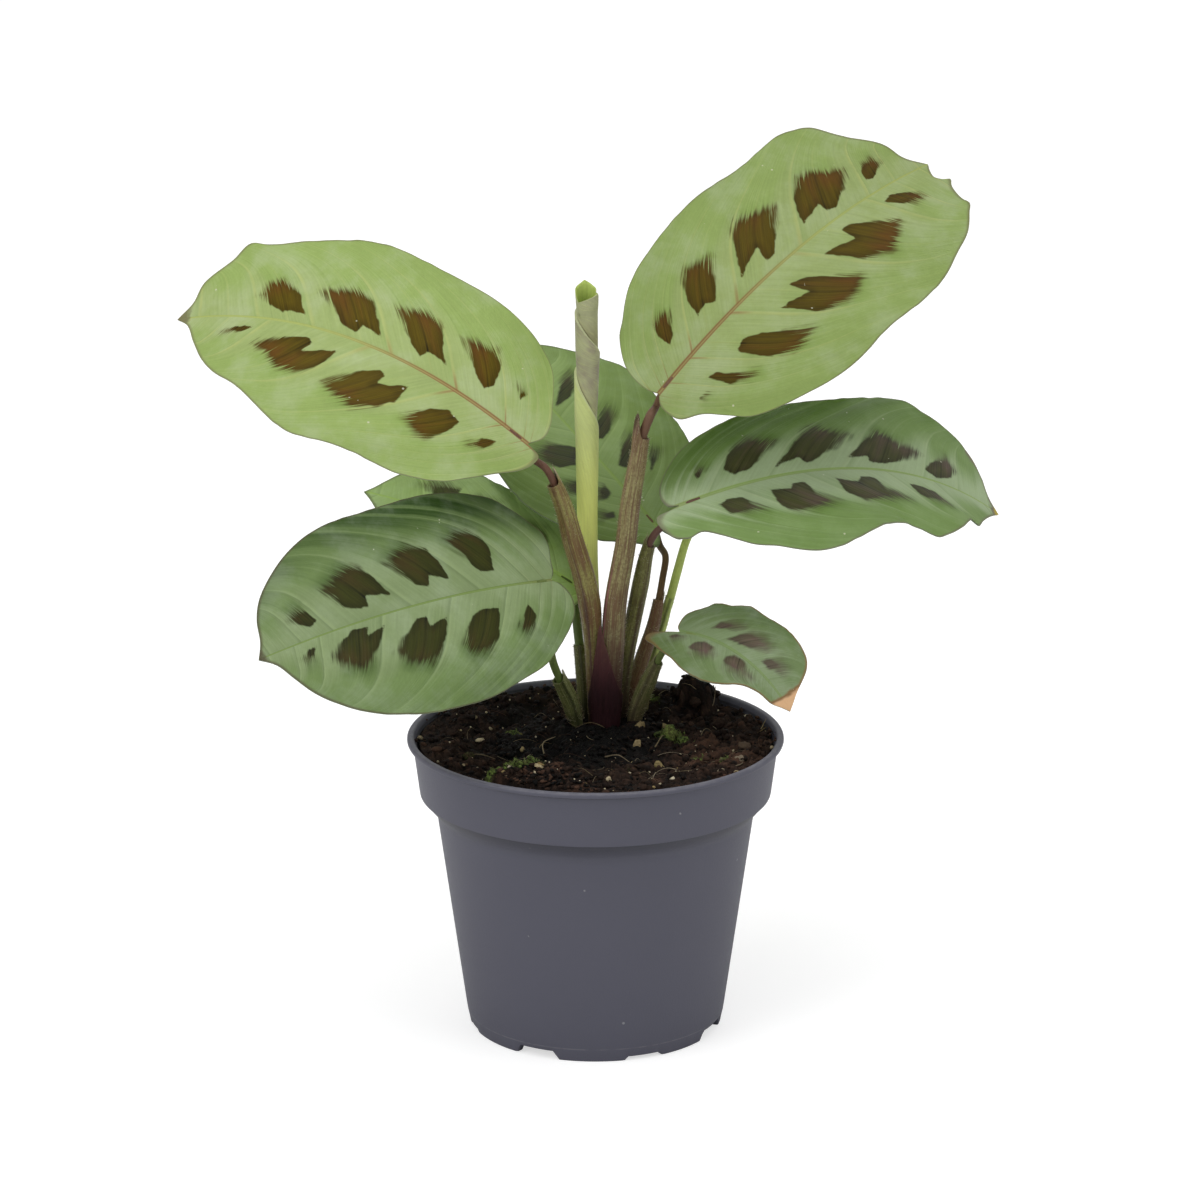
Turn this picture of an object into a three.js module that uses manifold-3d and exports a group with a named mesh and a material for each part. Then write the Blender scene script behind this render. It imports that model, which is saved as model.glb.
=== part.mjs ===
// A prayer plant in a small round nursery pot. Millimetres, +Z up.
// The origin is on the pot's axis, on the ground the pot stands on. The front is -Y.
import * as THREE from "three";
import { mergeVertices } from "three/addons/utils/BufferGeometryUtils.js";
import Module from "manifold-3d";

const wasm = await Module();
wasm.setup();

// ---------------------------------------------------------------- driving dimensions

const clearance = 0.3; // between neighbouring pieces

const pot = {
  height: 48,
  lipRadius: 30,
  lipInnerRadius: 29,
  collarTopRadius: 28.65,
  collarBottomRadius: 27.75,
  collarBottom: 38,
  shoulderBottom: 34,
  shoulderRadius: 25.15,
  footTopRadius: 20.6,
  wall: 0.75,
  footRadius: 20.3,
  footHeight: 2,
  footThickness: 1.3,
  footCount: 8,
  footGapAngle: 19, // degrees
  firstGapAngle: 23, // degrees from the front, towards +X
  floorTop: 3.2,
  padRadius: 7,
  drainCount: 6,
  drainRadius: 2.2,
  drainCircle: 12.5,
  segments: 56,
};

const soil = {
  level: 45.5, // where it meets the pot
  mound: 1.3, // how much higher it is round the stalks
  moundX: 1,
  moundY: 9,
  moundWidth: 15,
  rings: 13,
  segments: 48,
};

// Lumps that stand out of the soil: [x, y, radius, height].
const soilLumps = [
  [16, 20, 4, 3.8], // peat clod by the rim
  [12.2, 12, 2.6, 1.4], // moss cushion
  [-8.5, -13.5, 4.4, 1.6], // bark
  [-14, -10.5, 3.4, 1.3], // moss strip
  [-19, 10, 5, 1.2],
  [17, -4, 3.5, 0.9],
  [3, -15, 3.5, 0.8],
];

const blade = {
  thickness: 0.6,
  arch: 0.004, // how fast the two halves bend back, 1/mm
  fold: 6, // degrees that each half rises from the midrib
  waveHeight: 0.45,
  veinHeight: 0.12,
  midribDepth: 0.45, // how far the midrib stands out underneath
  columns: [0, 0.08, 0.33, 0.58, 0.8, 1],
};

// Each leaf's midrib runs from base to tip. Roll turns the face about the midrib, in degrees;
// bulge and sway bow the midrib up and to the right. The outlines hold [along, out] points
// from the notch round the lobe to the tip, right and left as seen from the base.
const leaves = {
  upper_left: {
    base: [-10.7, 6, 94.1], tip: [-67.7, 31.8, 108.1], roll: -39, bulge: 8.6, sway: 2.4, twist: -8,
    rows: 20, waves: 4, colour: 0x93b06a,
    right: [[-1.2, 2.6], [-0.8, 5], [0.6, 7.8], [3.6, 12.8], [6.2, 14.7], [9.9, 16.2], [17.8, 17.6], [27.4, 18],
      [37.6, 17.8], [45.2, 16.1], [51.9, 13.8], [55.4, 13.8], [57.4, 10.7], [61.2, 6.6], [62, 2.7]],
    left: [[-2.2, 0.4], [-2.3, 2.4], [-1.4, 4.8], [0.8, 7.9], [3.4, 11.7], [6.3, 15.2], [11.9, 17.9], [20.8, 18.9],
      [31, 20], [36.1, 18.8], [41.4, 16.4], [46, 14], [52.1, 11.3], [55.6, 8.8], [58.5, 5.5], [61.5, 1.6]],
  },
  upper_right: {
    base: [10, 9, 101.5], tip: [54.2, 44.2, 131.1], roll: 31, bulge: 6.9, sway: -0.3, twist: -2,
    rows: 20, waves: 4, colour: 0x93b06a,
    right: [[-1.2, 1.5], [-1.5, 3.6], [-1.1, 5.7], [1.4, 8], [3.5, 11.3], [5.4, 14.4], [8.2, 16.6], [12.5, 18.8],
      [17.3, 20.5], [23.2, 21.2], [30.4, 20.9], [37.4, 21.3], [44.9, 20.1], [51, 17.7], [55.2, 15.9], [59.3, 12.7],
      [61.6, 9.8], [63, 5.6], [62.6, 2.4]],
    left: [[-0.6, 2], [-0.5, 4.6], [0.3, 7.4], [3.1, 11.1], [5, 12.3], [8.9, 14.9], [12, 16.3], [16.3, 17.4],
      [21, 18.1], [26.5, 18.3], [36.5, 17.8], [46.5, 18.3], [50.4, 17.5], [53.1, 16.2], [56, 12.4], [60.2, 7.4],
      [61, 3]],
  },
  right: {
    base: [13.3, 9, 83.2], tip: [66.5, 37.7, 73.7], roll: 31, bulge: 8.5, sway: -0.9, twist: 4,
    rows: 20, waves: 4, colour: 0x76946a,
    right: [[-1.2, 0.4], [-3.4, 0.5], [-3.9, 2], [-3.5, 4.3], [-2.8, 6.2], [-1.2, 7.2], [0.9, 6.9], [3, 8.8],
      [6.7, 13.3], [9.8, 15.1], [12.7, 16.6], [16, 17.3], [19.7, 17], [24.2, 15.6], [31, 13.2], [35, 13.1],
      [39.5, 14.5], [42.6, 13.5], [47.3, 10.3], [50.6, 8.2], [54, 6], [57.6, 3]],
    left: [[-1.4, 0.6], [-1.8, 2.1], [-1.5, 4], [0.2, 6.7], [3, 9.4], [5.8, 11], [9.6, 12.3], [13.9, 13.7],
      [24.3, 14.8], [29.8, 14.9], [38.4, 17.3], [43.5, 18.2], [47.3, 18], [50.2, 16.7], [56.7, 14.7], [59, 11.5],
      [59.4, 7], [59.6, 2.5]],
  },
  lower_left: {
    base: [-7, 2, 72.9], tip: [-50.7, -36.9, 71.8], roll: -48, bulge: 2.7, sway: 0.9, twist: -2,
    rows: 20, waves: 3, colour: 0x76946a,
    right: [[-1.2, 1.4], [-1.6, 3.4], [-2.5, 6], [-2.3, 8.2], [-0.8, 10.1], [1.5, 12.7], [4.7, 15.3], [8.7, 16.4],
      [13.4, 17.1], [20.6, 17.4], [31.8, 17], [36.1, 16.7], [40.6, 15.9], [44.4, 14.7], [48.6, 12.6], [53.7, 8.7],
      [55.8, 5.7], [57, 2.4]],
    left: [[-1.7, 1], [-2.5, 3.3], [-1.5, 6.1], [1, 8.6], [6, 12.1], [10.8, 14.8], [16.6, 16.4], [23.7, 17.8],
      [30.4, 18.1], [36.1, 17.8], [40.3, 16.8], [46, 14.4], [50.3, 11.4], [53.3, 8.3], [55, 5.2], [56.4, 2]],
  },
  small_right: {
    base: [13.4, 5, 63.4], tip: [30.5, -12, 55.6], roll: 24, bulge: 2.5, sway: -1.5, twist: 0,
    rows: 13, waves: 2.5, colour: 0x6d8a68,
    right: [[-1, 0.4], [-2.6, 0.5], [-4.3, 0.3], [-5.5, 0.7], [-5.2, 2], [-3, 3.4], [0.4, 5.4], [3.3, 6.6],
      [6, 7.8], [8.5, 8.4], [12.3, 8.1], [15.2, 6.6], [17.7, 4.1], [20.4, 2.7], [23, 2], [24.3, 0.9]],
    left: [[-0.9, 1], [-1.2, 2.4], [-1.1, 3.9], [-0.1, 5], [1.2, 6], [2.3, 7.2], [5, 7.5], [7.5, 8.7],
      [10.1, 8.5], [14.4, 8.7], [18.1, 7.9], [19.8, 7.2], [21.1, 6.1], [23.3, 2.6], [24.4, 1.2]],
  },
  back_centre: {
    base: [9.9, 22, 76], tip: [-18.3, 68, 95.1], roll: -6, bulge: 1.5, sway: -0.5, twist: 0,
    rows: 17, waves: 3.5, colour: 0x6f9065,
    right: [[-2.2, 0.7], [-4.2, 1.8], [-3.6, 3.4], [-1.2, 5.6], [3, 9], [8, 12.6], [12, 14.8], [16.5, 16],
      [22.2, 17.3], [32, 17.6], [40.7, 17], [44.7, 15.1], [48.2, 12], [51.6, 8.6], [54.4, 5], [56.4, 2]],
    left: [[-2.4, 0.8], [-4.3, 2.6], [-2.6, 5], [-1.2, 8], [0.3, 11.2], [4.6, 14.8], [10.6, 17.1], [17.4, 17.6],
      [30, 16.9], [38, 15], [46, 11], [52, 6.4], [56, 2.2]],
  },
  back_left: {
    base: [-2.8, 16, 67.6], tip: [-38, 34, 78.6], roll: -28, bulge: 3, sway: 0, twist: 0,
    rows: 13, waves: 3, colour: 0x6a8a5a,
    right: [[-1.4, 1.6], [-1.2, 4], [1.6, 6.8], [6, 8.8], [12, 9.4], [19, 10], [26, 10.2], [32, 8.6], [37, 5.6],
      [38.6, 3.4], [39.8, 1.4]],
    left: [[-1.4, 1.6], [-1.2, 4], [1.4, 6.8], [6, 9.4], [12, 10.8], [19, 11], [26, 9.8], [32, 6.8], [36.4, 3.4],
      [39, 1.4]],
  },
  back_right: {
    base: [16.9, 17.5, 80.6], tip: [49, 37, 81], roll: 14, bulge: 3.5, sway: 0, twist: 0,
    rows: 12, waves: 2.5, colour: 0x86a862,
    right: [[-1.2, 1.4], [-1, 3.4], [1.4, 5.8], [6, 7.8], [12, 9], [18, 9.2], [24, 8.2], [30, 5.6], [34.4, 2.6]],
    left: [[-1.2, 1.4], [-1, 3.4], [1.4, 5.8], [6, 7.6], [12, 8.8], [18, 8.8], [24, 7.6], [30, 5], [34.4, 2.2]],
  },
};

// Each stalk's centre line, as [x, y, z, radius], from its root in the soil. Its first sheathed
// points are the sheath; a free sheath tip of tipLength stands on the side tipAngle (degrees
// from +X). Above it the thin stalk goes on and ends under the blade's base.
const stalks = {
  upper_left: {
    path: [[-0.1, 9.4, 39, 0.8], [-0.2, 9.4, 50.3, 1.05], [-0.6, 9.4, 60.5, 1.35], [-1.2, 9.2, 67.5, 1.65],
      [-1.9, 8.9, 71.5, 1.8], [-3.7, 8, 78, 1.7], [-4.8, 7.5, 82.5, 1.5], [-6.5, 7, 87.3, 1.3],
      [-7.9, 6.6, 90, 0.6]],
    sheathed: 8, tipAngle: 20, tipLength: 2.2, colour: 0x7d6a58,
  },
  upper_right: {
    path: [[2.6, 9.6, 39, 0.8], [2.5, 9.6, 50.4, 1.35], [3.1, 9.3, 60.6, 1.9], [3.5, 9.3, 67.3, 1.95],
      [4.9, 9.2, 77.1, 1.75], [5.6, 9.2, 83.9, 1.7], [6.7, 9, 90.8, 1.35], [7.6, 9, 94.8, 1.2],
      [8.7, 9, 98, 0.6]],
    sheathed: 8, tipAngle: 180, tipLength: 2.6, colour: 0x6f5350,
  },
  right: {
    path: [[4.4, 12.4, 39, 0.8], [4.2, 12.4, 50, 1.15], [4.9, 12.6, 56.7, 1.25], [6, 12.3, 63, 1.3],
      [7.2, 11.5, 69.5, 1.35], [8.5, 10.6, 76.2, 1.05], [9.8, 10.1, 78.6, 0.6]],
    sheathed: 6, tipAngle: 180, tipLength: 1.6, colour: 0x6c6a4e,
  },
  lower_left: {
    path: [[-3.1, 8.3, 39, 0.8], [-3.1, 8.3, 47.2, 1.05], [-3.6, 8.2, 49, 1.3], [-4.4, 8, 51.6, 1.4],
      [-5.7, 7, 54.9, 1.3], [-6.8, 5.8, 58.2, 0.65], [-7.4, 4.6, 63, 0.6], [-7.4, 3.4, 68.6, 0.6]],
    sheathed: 5, tipAngle: 0, tipLength: 1.6, colour: 0x7c9a52,
  },
  small_right: {
    path: [[6.3, 9.8, 39, 0.8], [6.3, 9.8, 47.4, 1.25], [7.1, 9.6, 50.4, 1.4], [8.4, 9, 53.8, 1.35],
      [9.9, 8, 57.5, 0.95], [11.4, 6.9, 60.2, 0.55]],
    sheathed: 5, tipAngle: 160, tipLength: 1, colour: 0x7c9a52,
  },
  back_centre: {
    path: [[5.6, 15, 39, 0.8], [5.7, 15, 49, 1.1], [7.3, 15.2, 55.1, 1.25], [9.3, 15.7, 61.2, 1.1],
      [10.2, 16.5, 65.3, 0.9], [10.8, 17.5, 68.5, 0.55], [11.3, 19.2, 71.8, 0.55]],
    sheathed: 5, tipAngle: 0, tipLength: 1.4, colour: 0x7b6244,
  },
  back_left: {
    path: [[-1.9, 13, 39, 0.8], [-1.9, 13, 49.5, 1.05], [-2.2, 13.4, 54.4, 1.1], [-2.6, 14, 58.5, 1],
      [-3, 14.8, 62.5, 0.75], [-3, 15.6, 65.2, 0.6]],
    sheathed: 4, tipAngle: 90, tipLength: 0.6, colour: 0x4f7040,
  },
  back_right: {
    path: [[7.8, 17.3, 39, 0.8], [7.8, 17.3, 48.7, 0.95], [9.6, 17.8, 56.7, 0.95], [12.1, 17.2, 65.6, 0.8],
      [13.2, 16.4, 70.2, 0.7], [14.6, 16, 75.4, 0.65]],
    sheathed: 4, tipAngle: 0, tipLength: 0.6, colour: 0x9db878,
  },
};

const rolledLeaf = {
  // centre line and radius of the rolled blade, from its root in the soil
  path: [[1.5, 13.2, 39, 0.8], [1.4, 13.1, 50, 0.95], [1.3, 13.1, 60, 1.1], [0.5, 13.3, 69.6, 1.4],
    [-0.8, 13.5, 76.2, 1.6], [-1.3, 13.7, 84, 1.75], [-1.4, 13.8, 90, 1.8], [-1.5, 13.9, 96, 1.85],
    [-1.3, 14, 101, 2.05], [-1.3, 14, 108, 1.95], [-1.3, 14, 112.6, 1.8], [-1.3, 14, 114.6, 1.65],
    [-1.35, 14, 118.4, 1.2]],
  sides: 12,
  overlap: 0.2, // how much the roll's outer edge stands proud, as a share of its radius
  windFrom: 90, // height where the outer edge starts to wind round
  windPerTurn: 14, // height of one turn
  edgeAngle: 210, // where the edge runs below that, degrees from +X
  colour: 0x9fb17a,
};

const radians = Math.PI / 180;

// ---------------------------------------------------------------- helpers

// A geometry from a list of [x, y, z] points and a list of triangles.
function meshGeometry(points, triangles) {
  const geometry = new THREE.BufferGeometry();
  geometry.setAttribute("position", new THREE.Float32BufferAttribute(points.flat(), 3));
  geometry.setIndex(triangles.flat());
  return geometry;
}

// Manifold solid of a closed geometry, with its shared points merged.
function toSolid(geometry) {
  const bare = geometry.clone();
  bare.deleteAttribute("normal");
  bare.deleteAttribute("uv");
  const merged = mergeVertices(bare, 1e-4);
  return new wasm.Manifold(new wasm.Mesh({
    numProp: 3,
    vertProperties: new Float32Array(merged.attributes.position.array),
    triVerts: new Uint32Array(merged.index.array),
  }));
}

function fromSolid(solid) {
  const mesh = solid.getMesh();
  const geometry = new THREE.BufferGeometry();
  geometry.setAttribute("position", new THREE.BufferAttribute(mesh.vertProperties, 3));
  geometry.setIndex(new THREE.BufferAttribute(mesh.triVerts, 1));
  return geometry;
}

function namedMesh(name, geometry, colour, roughness) {
  geometry.computeVertexNormals();
  const mesh = new THREE.Mesh(geometry, new THREE.MeshStandardMaterial({ color: colour, roughness, metalness: 0 }));
  mesh.name = name;
  return mesh;
}

// Turns a profile of [radius, height] points, from axis to axis, about the Z axis.
function turned(profile, segments) {
  const geometry = new THREE.LatheGeometry(profile.map(([r, h]) => new THREE.Vector2(r, h)), segments);
  return geometry.rotateX(Math.PI / 2);
}

// Joins rings of points into a closed tube, with a flat fan at each end.
function ringTube(rings) {
  const count = rings[0].length;
  const points = rings.flat();
  const triangles = [];
  for (let ring = 0; ring + 1 < rings.length; ring += 1) {
    for (let side = 0; side < count; side += 1) {
      const a = ring * count + side;
      const b = ring * count + (side + 1) % count;
      triangles.push([a, b, b + count], [a, b + count, a + count]);
    }
  }
  const middle = (ring) => ring.reduce((sum, p) => sum.map((v, k) => v + p[k] / ring.length), [0, 0, 0]);
  const bottom = points.push(middle(rings[0])) - 1;
  const top = points.push(middle(rings[rings.length - 1])) - 1;
  const last = (rings.length - 1) * count;
  for (let side = 0; side < count; side += 1) {
    const next = (side + 1) % count;
    triangles.push([bottom, next, side], [top, last + side, last + next]);
  }
  return meshGeometry(points, triangles);
}

// ---------------------------------------------------------------- pot

// Radius of the pot's outer wall at a height above the foot.
function wallRadius(z) {
  const stations = [[pot.footHeight, pot.footTopRadius], [pot.shoulderBottom, pot.shoulderRadius],
    [35, 25.6], [36, 26.6], [37, 27.3], [pot.collarBottom, pot.collarBottomRadius],
    [47, pot.collarTopRadius]];
  const upper = Math.max(1, stations.findIndex(([height]) => height >= z));
  const [z0, r0] = stations[upper - 1];
  const [z1, r1] = stations[upper];
  return r0 + (r1 - r0) * (z - z0) / (z1 - z0);
}

function potGeometry() {
  const outside = [pot.footHeight + 0.1, pot.shoulderBottom, 35, 36, 37, pot.collarBottom, 47]
    .map((z) => [wallRadius(z), z]);
  const lip = [[29.5, 47.05], [pot.lipRadius - 0.1, 47.25], [pot.lipRadius, 47.55], [pot.lipRadius - 0.2, 47.9],
    [pot.lipRadius - 0.5, pot.height], [pot.lipInnerRadius + 0.15, 47.95], [pot.lipInnerRadius - 0.15, 47.6]];
  const inside = [46.6, 38.1, 37.1, 36.1, 35.2, 34.2, pot.floorTop]
    .map((z) => [wallRadius(z) - pot.wall, z]);
  const under = pot.footHeight + 0.2;
  const profile = [
    [0, 0], [pot.padRadius - 0.3, 0], [pot.padRadius, 0.3], [pot.padRadius, under],
    [pot.footRadius - pot.footThickness, under], [pot.footRadius - pot.footThickness, 0],
    [pot.footRadius - 0.3, 0], [pot.footRadius, 0.4], [pot.footRadius, pot.footHeight],
    [pot.footTopRadius - 0.1, pot.footHeight],
    ...outside, ...lip, ...inside, [0, pot.floorTop],
  ];
  let solid = toSolid(turned(profile, pot.segments));

  // Gaps in the foot ring let water out from under the pot.
  const gapWidth = 2 * pot.footRadius * Math.sin(pot.footGapAngle / 2 * radians);
  for (let k = 0; k < pot.footCount; k += 1) {
    const angle = (pot.firstGapAngle + 360 / pot.footCount * k) * radians;
    const gap = new THREE.BoxGeometry(gapWidth, 6, 3.4);
    gap.translate(0, -(pot.footRadius - 0.5), pot.footHeight - 0.1 - 1.7);
    solid = solid.subtract(toSolid(gap.rotateZ(angle)));
  }
  for (let k = 0; k < pot.drainCount; k += 1) {
    const angle = (360 / pot.drainCount * (k + 0.5)) * radians;
    const hole = new THREE.CylinderGeometry(pot.drainRadius, pot.drainRadius, 4, 16).rotateX(Math.PI / 2);
    hole.translate(pot.drainCircle * Math.cos(angle), pot.drainCircle * Math.sin(angle), pot.floorTop - 0.6);
    solid = solid.subtract(toSolid(hole));
  }
  return fromSolid(solid);
}

// ---------------------------------------------------------------- soil

// Height of the soil's surface: a low mound round the stalks, a soft unevenness and the lumps.
function soilHeight(x, y) {
  const fromMound = Math.hypot(x - soil.moundX, y - soil.moundY) / soil.moundWidth;
  let z = soil.level + soil.mound * Math.exp(-fromMound * fromMound);
  z += 0.3 * Math.sin(0.42 * x + 1) * Math.cos(0.37 * y) + 0.18 * Math.sin(0.9 * x - 0.7 * y);
  for (const [lumpX, lumpY, radius, height] of soilLumps) {
    const d = Math.hypot(x - lumpX, y - lumpY) / radius;
    if (d < 1) z += height * (1 - d * d) ** 1.5;
  }
  return z;
}

function soilGeometry() {
  const gap = pot.wall + clearance;
  const sideHeights = [38.1, 37.1, 36.1, 34.1, pot.floorTop + clearance];
  const points = [[0, 0, soilHeight(0, 0)]];
  const triangles = [];
  const count = soil.segments;
  const ring = (radiusAt, heightAt) => {
    for (let k = 0; k < count; k += 1) {
      const angle = k / count * 2 * Math.PI;
      const r = radiusAt();
      const x = r * Math.cos(angle);
      const y = r * Math.sin(angle);
      points.push([x, y, heightAt(x, y)]);
    }
  };
  const topRadius = wallRadius(45) - gap;
  for (let k = 1; k <= soil.rings; k += 1) {
    const r = topRadius * k / soil.rings;
    const fade = k === soil.rings ? 0 : 1;
    ring(() => r, (x, y) => (fade ? soilHeight(x, y) : Math.min(soilHeight(x, y), 46.2)));
  }
  for (const z of sideHeights) ring(() => wallRadius(z) - gap, () => z);
  const ringCount = soil.rings + sideHeights.length;
  for (let k = 0; k < count; k += 1) triangles.push([0, 1 + k, 1 + (k + 1) % count]);
  for (let r = 0; r + 1 < ringCount; r += 1) {
    for (let k = 0; k < count; k += 1) {
      const a = 1 + r * count + k;
      const b = 1 + r * count + (k + 1) % count;
      triangles.push([a, a + count, b + count], [a, b + count, b]);
    }
  }
  const bottom = points.push([0, 0, pot.floorTop + clearance]) - 1;
  const last = 1 + (ringCount - 1) * count;
  for (let k = 0; k < count; k += 1) triangles.push([bottom, last + (k + 1) % count, last + k]);
  let solid = toSolid(meshGeometry(points, triangles));
  const rooted = [...Object.values(stalks), rolledLeaf];
  for (const stalk of rooted) solid = solid.subtract(toSolid(rootHole(stalk)));
  return fromSolid(solid);
}

// A plain hole round a stalk's lower end, a little wider and deeper than the stalk.
function rootHole(stalk) {
  const [root, foot, next] = stalk.path.map(([x, y, z, r]) => ({ centre: new THREE.Vector3(x, y, z), r }));
  const along = new THREE.Vector3().subVectors(next.centre, foot.centre);
  const above = foot.centre.clone().addScaledVector(along, 4 / along.length());
  const stations = [
    [new THREE.Vector3(root.centre.x, root.centre.y, root.centre.z - clearance), root.r],
    [root.centre, root.r], [foot.centre, foot.r], [above, foot.r + (next.r - foot.r) * 4 / along.length()],
  ];
  const rings = stations.map(([centre, r]) => {
    const points = [];
    for (let k = 0; k < 10; k += 1) {
      const angle = k / 10 * 2 * Math.PI;
      const reach = (r + clearance + 0.1) * 1.06;
      points.push([centre.x + reach * Math.cos(angle), centre.y + reach * Math.sin(angle), centre.z]);
    }
    return points;
  });
  return ringTube(rings);
}

// ---------------------------------------------------------------- leaf blades

// The leaf's own directions: along the chord, to its right, and out of its face.
function leafAxes(leaf) {
  const base = new THREE.Vector3(...leaf.base);
  const chord = new THREE.Vector3(...leaf.tip).sub(base);
  const length = chord.length();
  const along = chord.clone().normalize();
  const level = new THREE.Vector3().crossVectors(along, new THREE.Vector3(0, 0, 1)).normalize();
  const up = new THREE.Vector3().crossVectors(level, along);
  const face = up.multiplyScalar(Math.cos(leaf.roll * radians)).addScaledVector(level, Math.sin(leaf.roll * radians));
  const right = new THREE.Vector3().crossVectors(along, face);
  return { base, chord, length, along, face, right };
}

// Point of the blade's middle surface and the face's direction there. The midrib is a parabola
// from base to tip; across it each half rises by the fold and bends back by the arch.
function bladePoint(leaf, axes, a, w, lift = 0) {
  const t = a / axes.length;
  const bow = axes.face.clone().multiplyScalar(leaf.bulge).addScaledVector(axes.right, leaf.sway);
  const middle = axes.base.clone().addScaledVector(axes.chord, t).addScaledVector(bow, 4 * t * (1 - t));
  const tangent = axes.chord.clone().addScaledVector(bow, 4 * (1 - 2 * t)).normalize();
  const turn = leaf.twist * (t - 0.5) * radians;
  const tilted = axes.face.clone().multiplyScalar(Math.cos(turn)).addScaledVector(axes.right, Math.sin(turn));
  const right = new THREE.Vector3().crossVectors(tangent, tilted).normalize();
  const face = new THREE.Vector3().crossVectors(right, tangent);
  const height = Math.abs(w) * Math.tan(blade.fold * radians) - w * w * blade.arch + lift;
  return middle.addScaledVector(right, w).addScaledVector(face, height);
}

// One half's outline as a smooth curve from the notch to the tip, read by its share of the way.
function outlineCurve(leaf, length, side) {
  const points = [[0, 0], ...leaf[side], [length, 0]];
  return new THREE.CatmullRomCurve3(points.map(([a, w]) => new THREE.Vector3(a, w, 0)), false, "centripetal");
}

// Where the side vein that ends at share u of the outline leaves the midrib.
function veinOrigin(length, u) {
  return length * u * (0.15 + 0.85 * u);
}

// A closed blade: rows follow the side veins, columns run from the midrib to the edge. Both faces
// have the same triangles, half the thickness to each side of the middle surface.
function bladeGeometry(leaf) {
  const axes = leafAxes(leaf);
  const columns = blade.columns;
  const outlines = { 1: outlineCurve(leaf, axes.length, "right"), [-1]: outlineCurve(leaf, axes.length, "left") };
  const widest = 18;

  const flatPoint = (side, row, column) => {
    const u = row / leaf.rows;
    const edge = outlines[side].getPointAt(u);
    const start = veinOrigin(axes.length, u);
    const s = columns[column];
    const bend = new THREE.Vector2(start + 0.25 * (edge.x - start), 0.62 * edge.y);
    const a = (1 - s) * (1 - s) * start + 2 * s * (1 - s) * bend.x + s * s * edge.x;
    const w = 2 * s * (1 - s) * bend.y + s * s * edge.y;
    return [a, side * w];
  };
  const lift = (side, row, column) => {
    const u = row / leaf.rows;
    const s = columns[column];
    const wave = Math.sin(2 * Math.PI * leaf.waves * u + (side > 0 ? 0.6 : 2.4)) * s ** 3 * Math.sin(Math.PI * u);
    const ridge = (row % 2 ? 1 : -1) * Math.sin(Math.PI * Math.min(1, s * 1.1)) * Math.sin(Math.PI * u);
    return blade.waveHeight * wave * axes.length / 60 + blade.veinHeight * ridge;
  };
  const faceAt = (a, w) => {
    const step = 0.2;
    const du = bladePoint(leaf, axes, a + step, w).sub(bladePoint(leaf, axes, a - step, w));
    const dw = bladePoint(leaf, axes, a, w + step).sub(bladePoint(leaf, axes, a, w - step));
    return new THREE.Vector3().crossVectors(dw, du).normalize();
  };

  const points = [];
  const triangles = [];
  const addPair = (a, w, height, rib) => {
    const middle = bladePoint(leaf, axes, a, w, height);
    const face = faceAt(a, w);
    const half = blade.thickness / 2;
    points.push(middle.clone().addScaledVector(face, half).toArray());
    points.push(middle.clone().addScaledVector(face, -half - rib).toArray());
    return points.length - 2;
  };
  const ribAt = (u) => blade.midribDepth * Math.min(1, axes.length / 45) * (1 - 0.8 * u) * Math.min(1, 8 * u);

  const notch = addPair(0, 0, 0, 0);
  const tip = addPair(axes.length, 0, 0, 0);
  const midrib = [notch];
  for (let row = 1; row < leaf.rows; row += 1) {
    const u = row / leaf.rows;
    midrib.push(addPair(veinOrigin(axes.length, u), 0, 0, ribAt(u)));
  }
  midrib.push(tip);

  for (const side of [1, -1]) {
    const grid = [columns.map(() => notch)];
    for (let row = 1; row < leaf.rows; row += 1) {
      const line = [midrib[row]];
      for (let column = 1; column < columns.length; column += 1) {
        const [a, w] = flatPoint(side, row, column);
        line.push(addPair(a, w, lift(side, row, column), 0));
      }
      grid.push(line);
    }
    grid.push(columns.map(() => tip));
    const both = (a, b, c) => {
      if (a === b || b === c || a === c) return;
      const [p, q, r] = side > 0 ? [a, b, c] : [a, c, b];
      triangles.push([p, q, r], [p + 1, r + 1, q + 1]);
    };
    for (let row = 0; row < leaf.rows; row += 1) {
      for (let column = 0; column + 1 < columns.length; column += 1) {
        const [a, b] = [grid[row][column], grid[row][column + 1]];
        const [d, c] = [grid[row + 1][column], grid[row + 1][column + 1]];
        both(a, b, c);
        both(a, c, d);
      }
      const [edge, nextEdge] = [grid[row].at(-1), grid[row + 1].at(-1)];
      const rim = side > 0
        ? [[edge, edge + 1, nextEdge + 1], [edge, nextEdge + 1, nextEdge]]
        : [[edge, nextEdge + 1, edge + 1], [edge, nextEdge, nextEdge + 1]];
      triangles.push(...rim);
    }
  }
  return meshGeometry(points, triangles);
}

// ---------------------------------------------------------------- stalks

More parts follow.
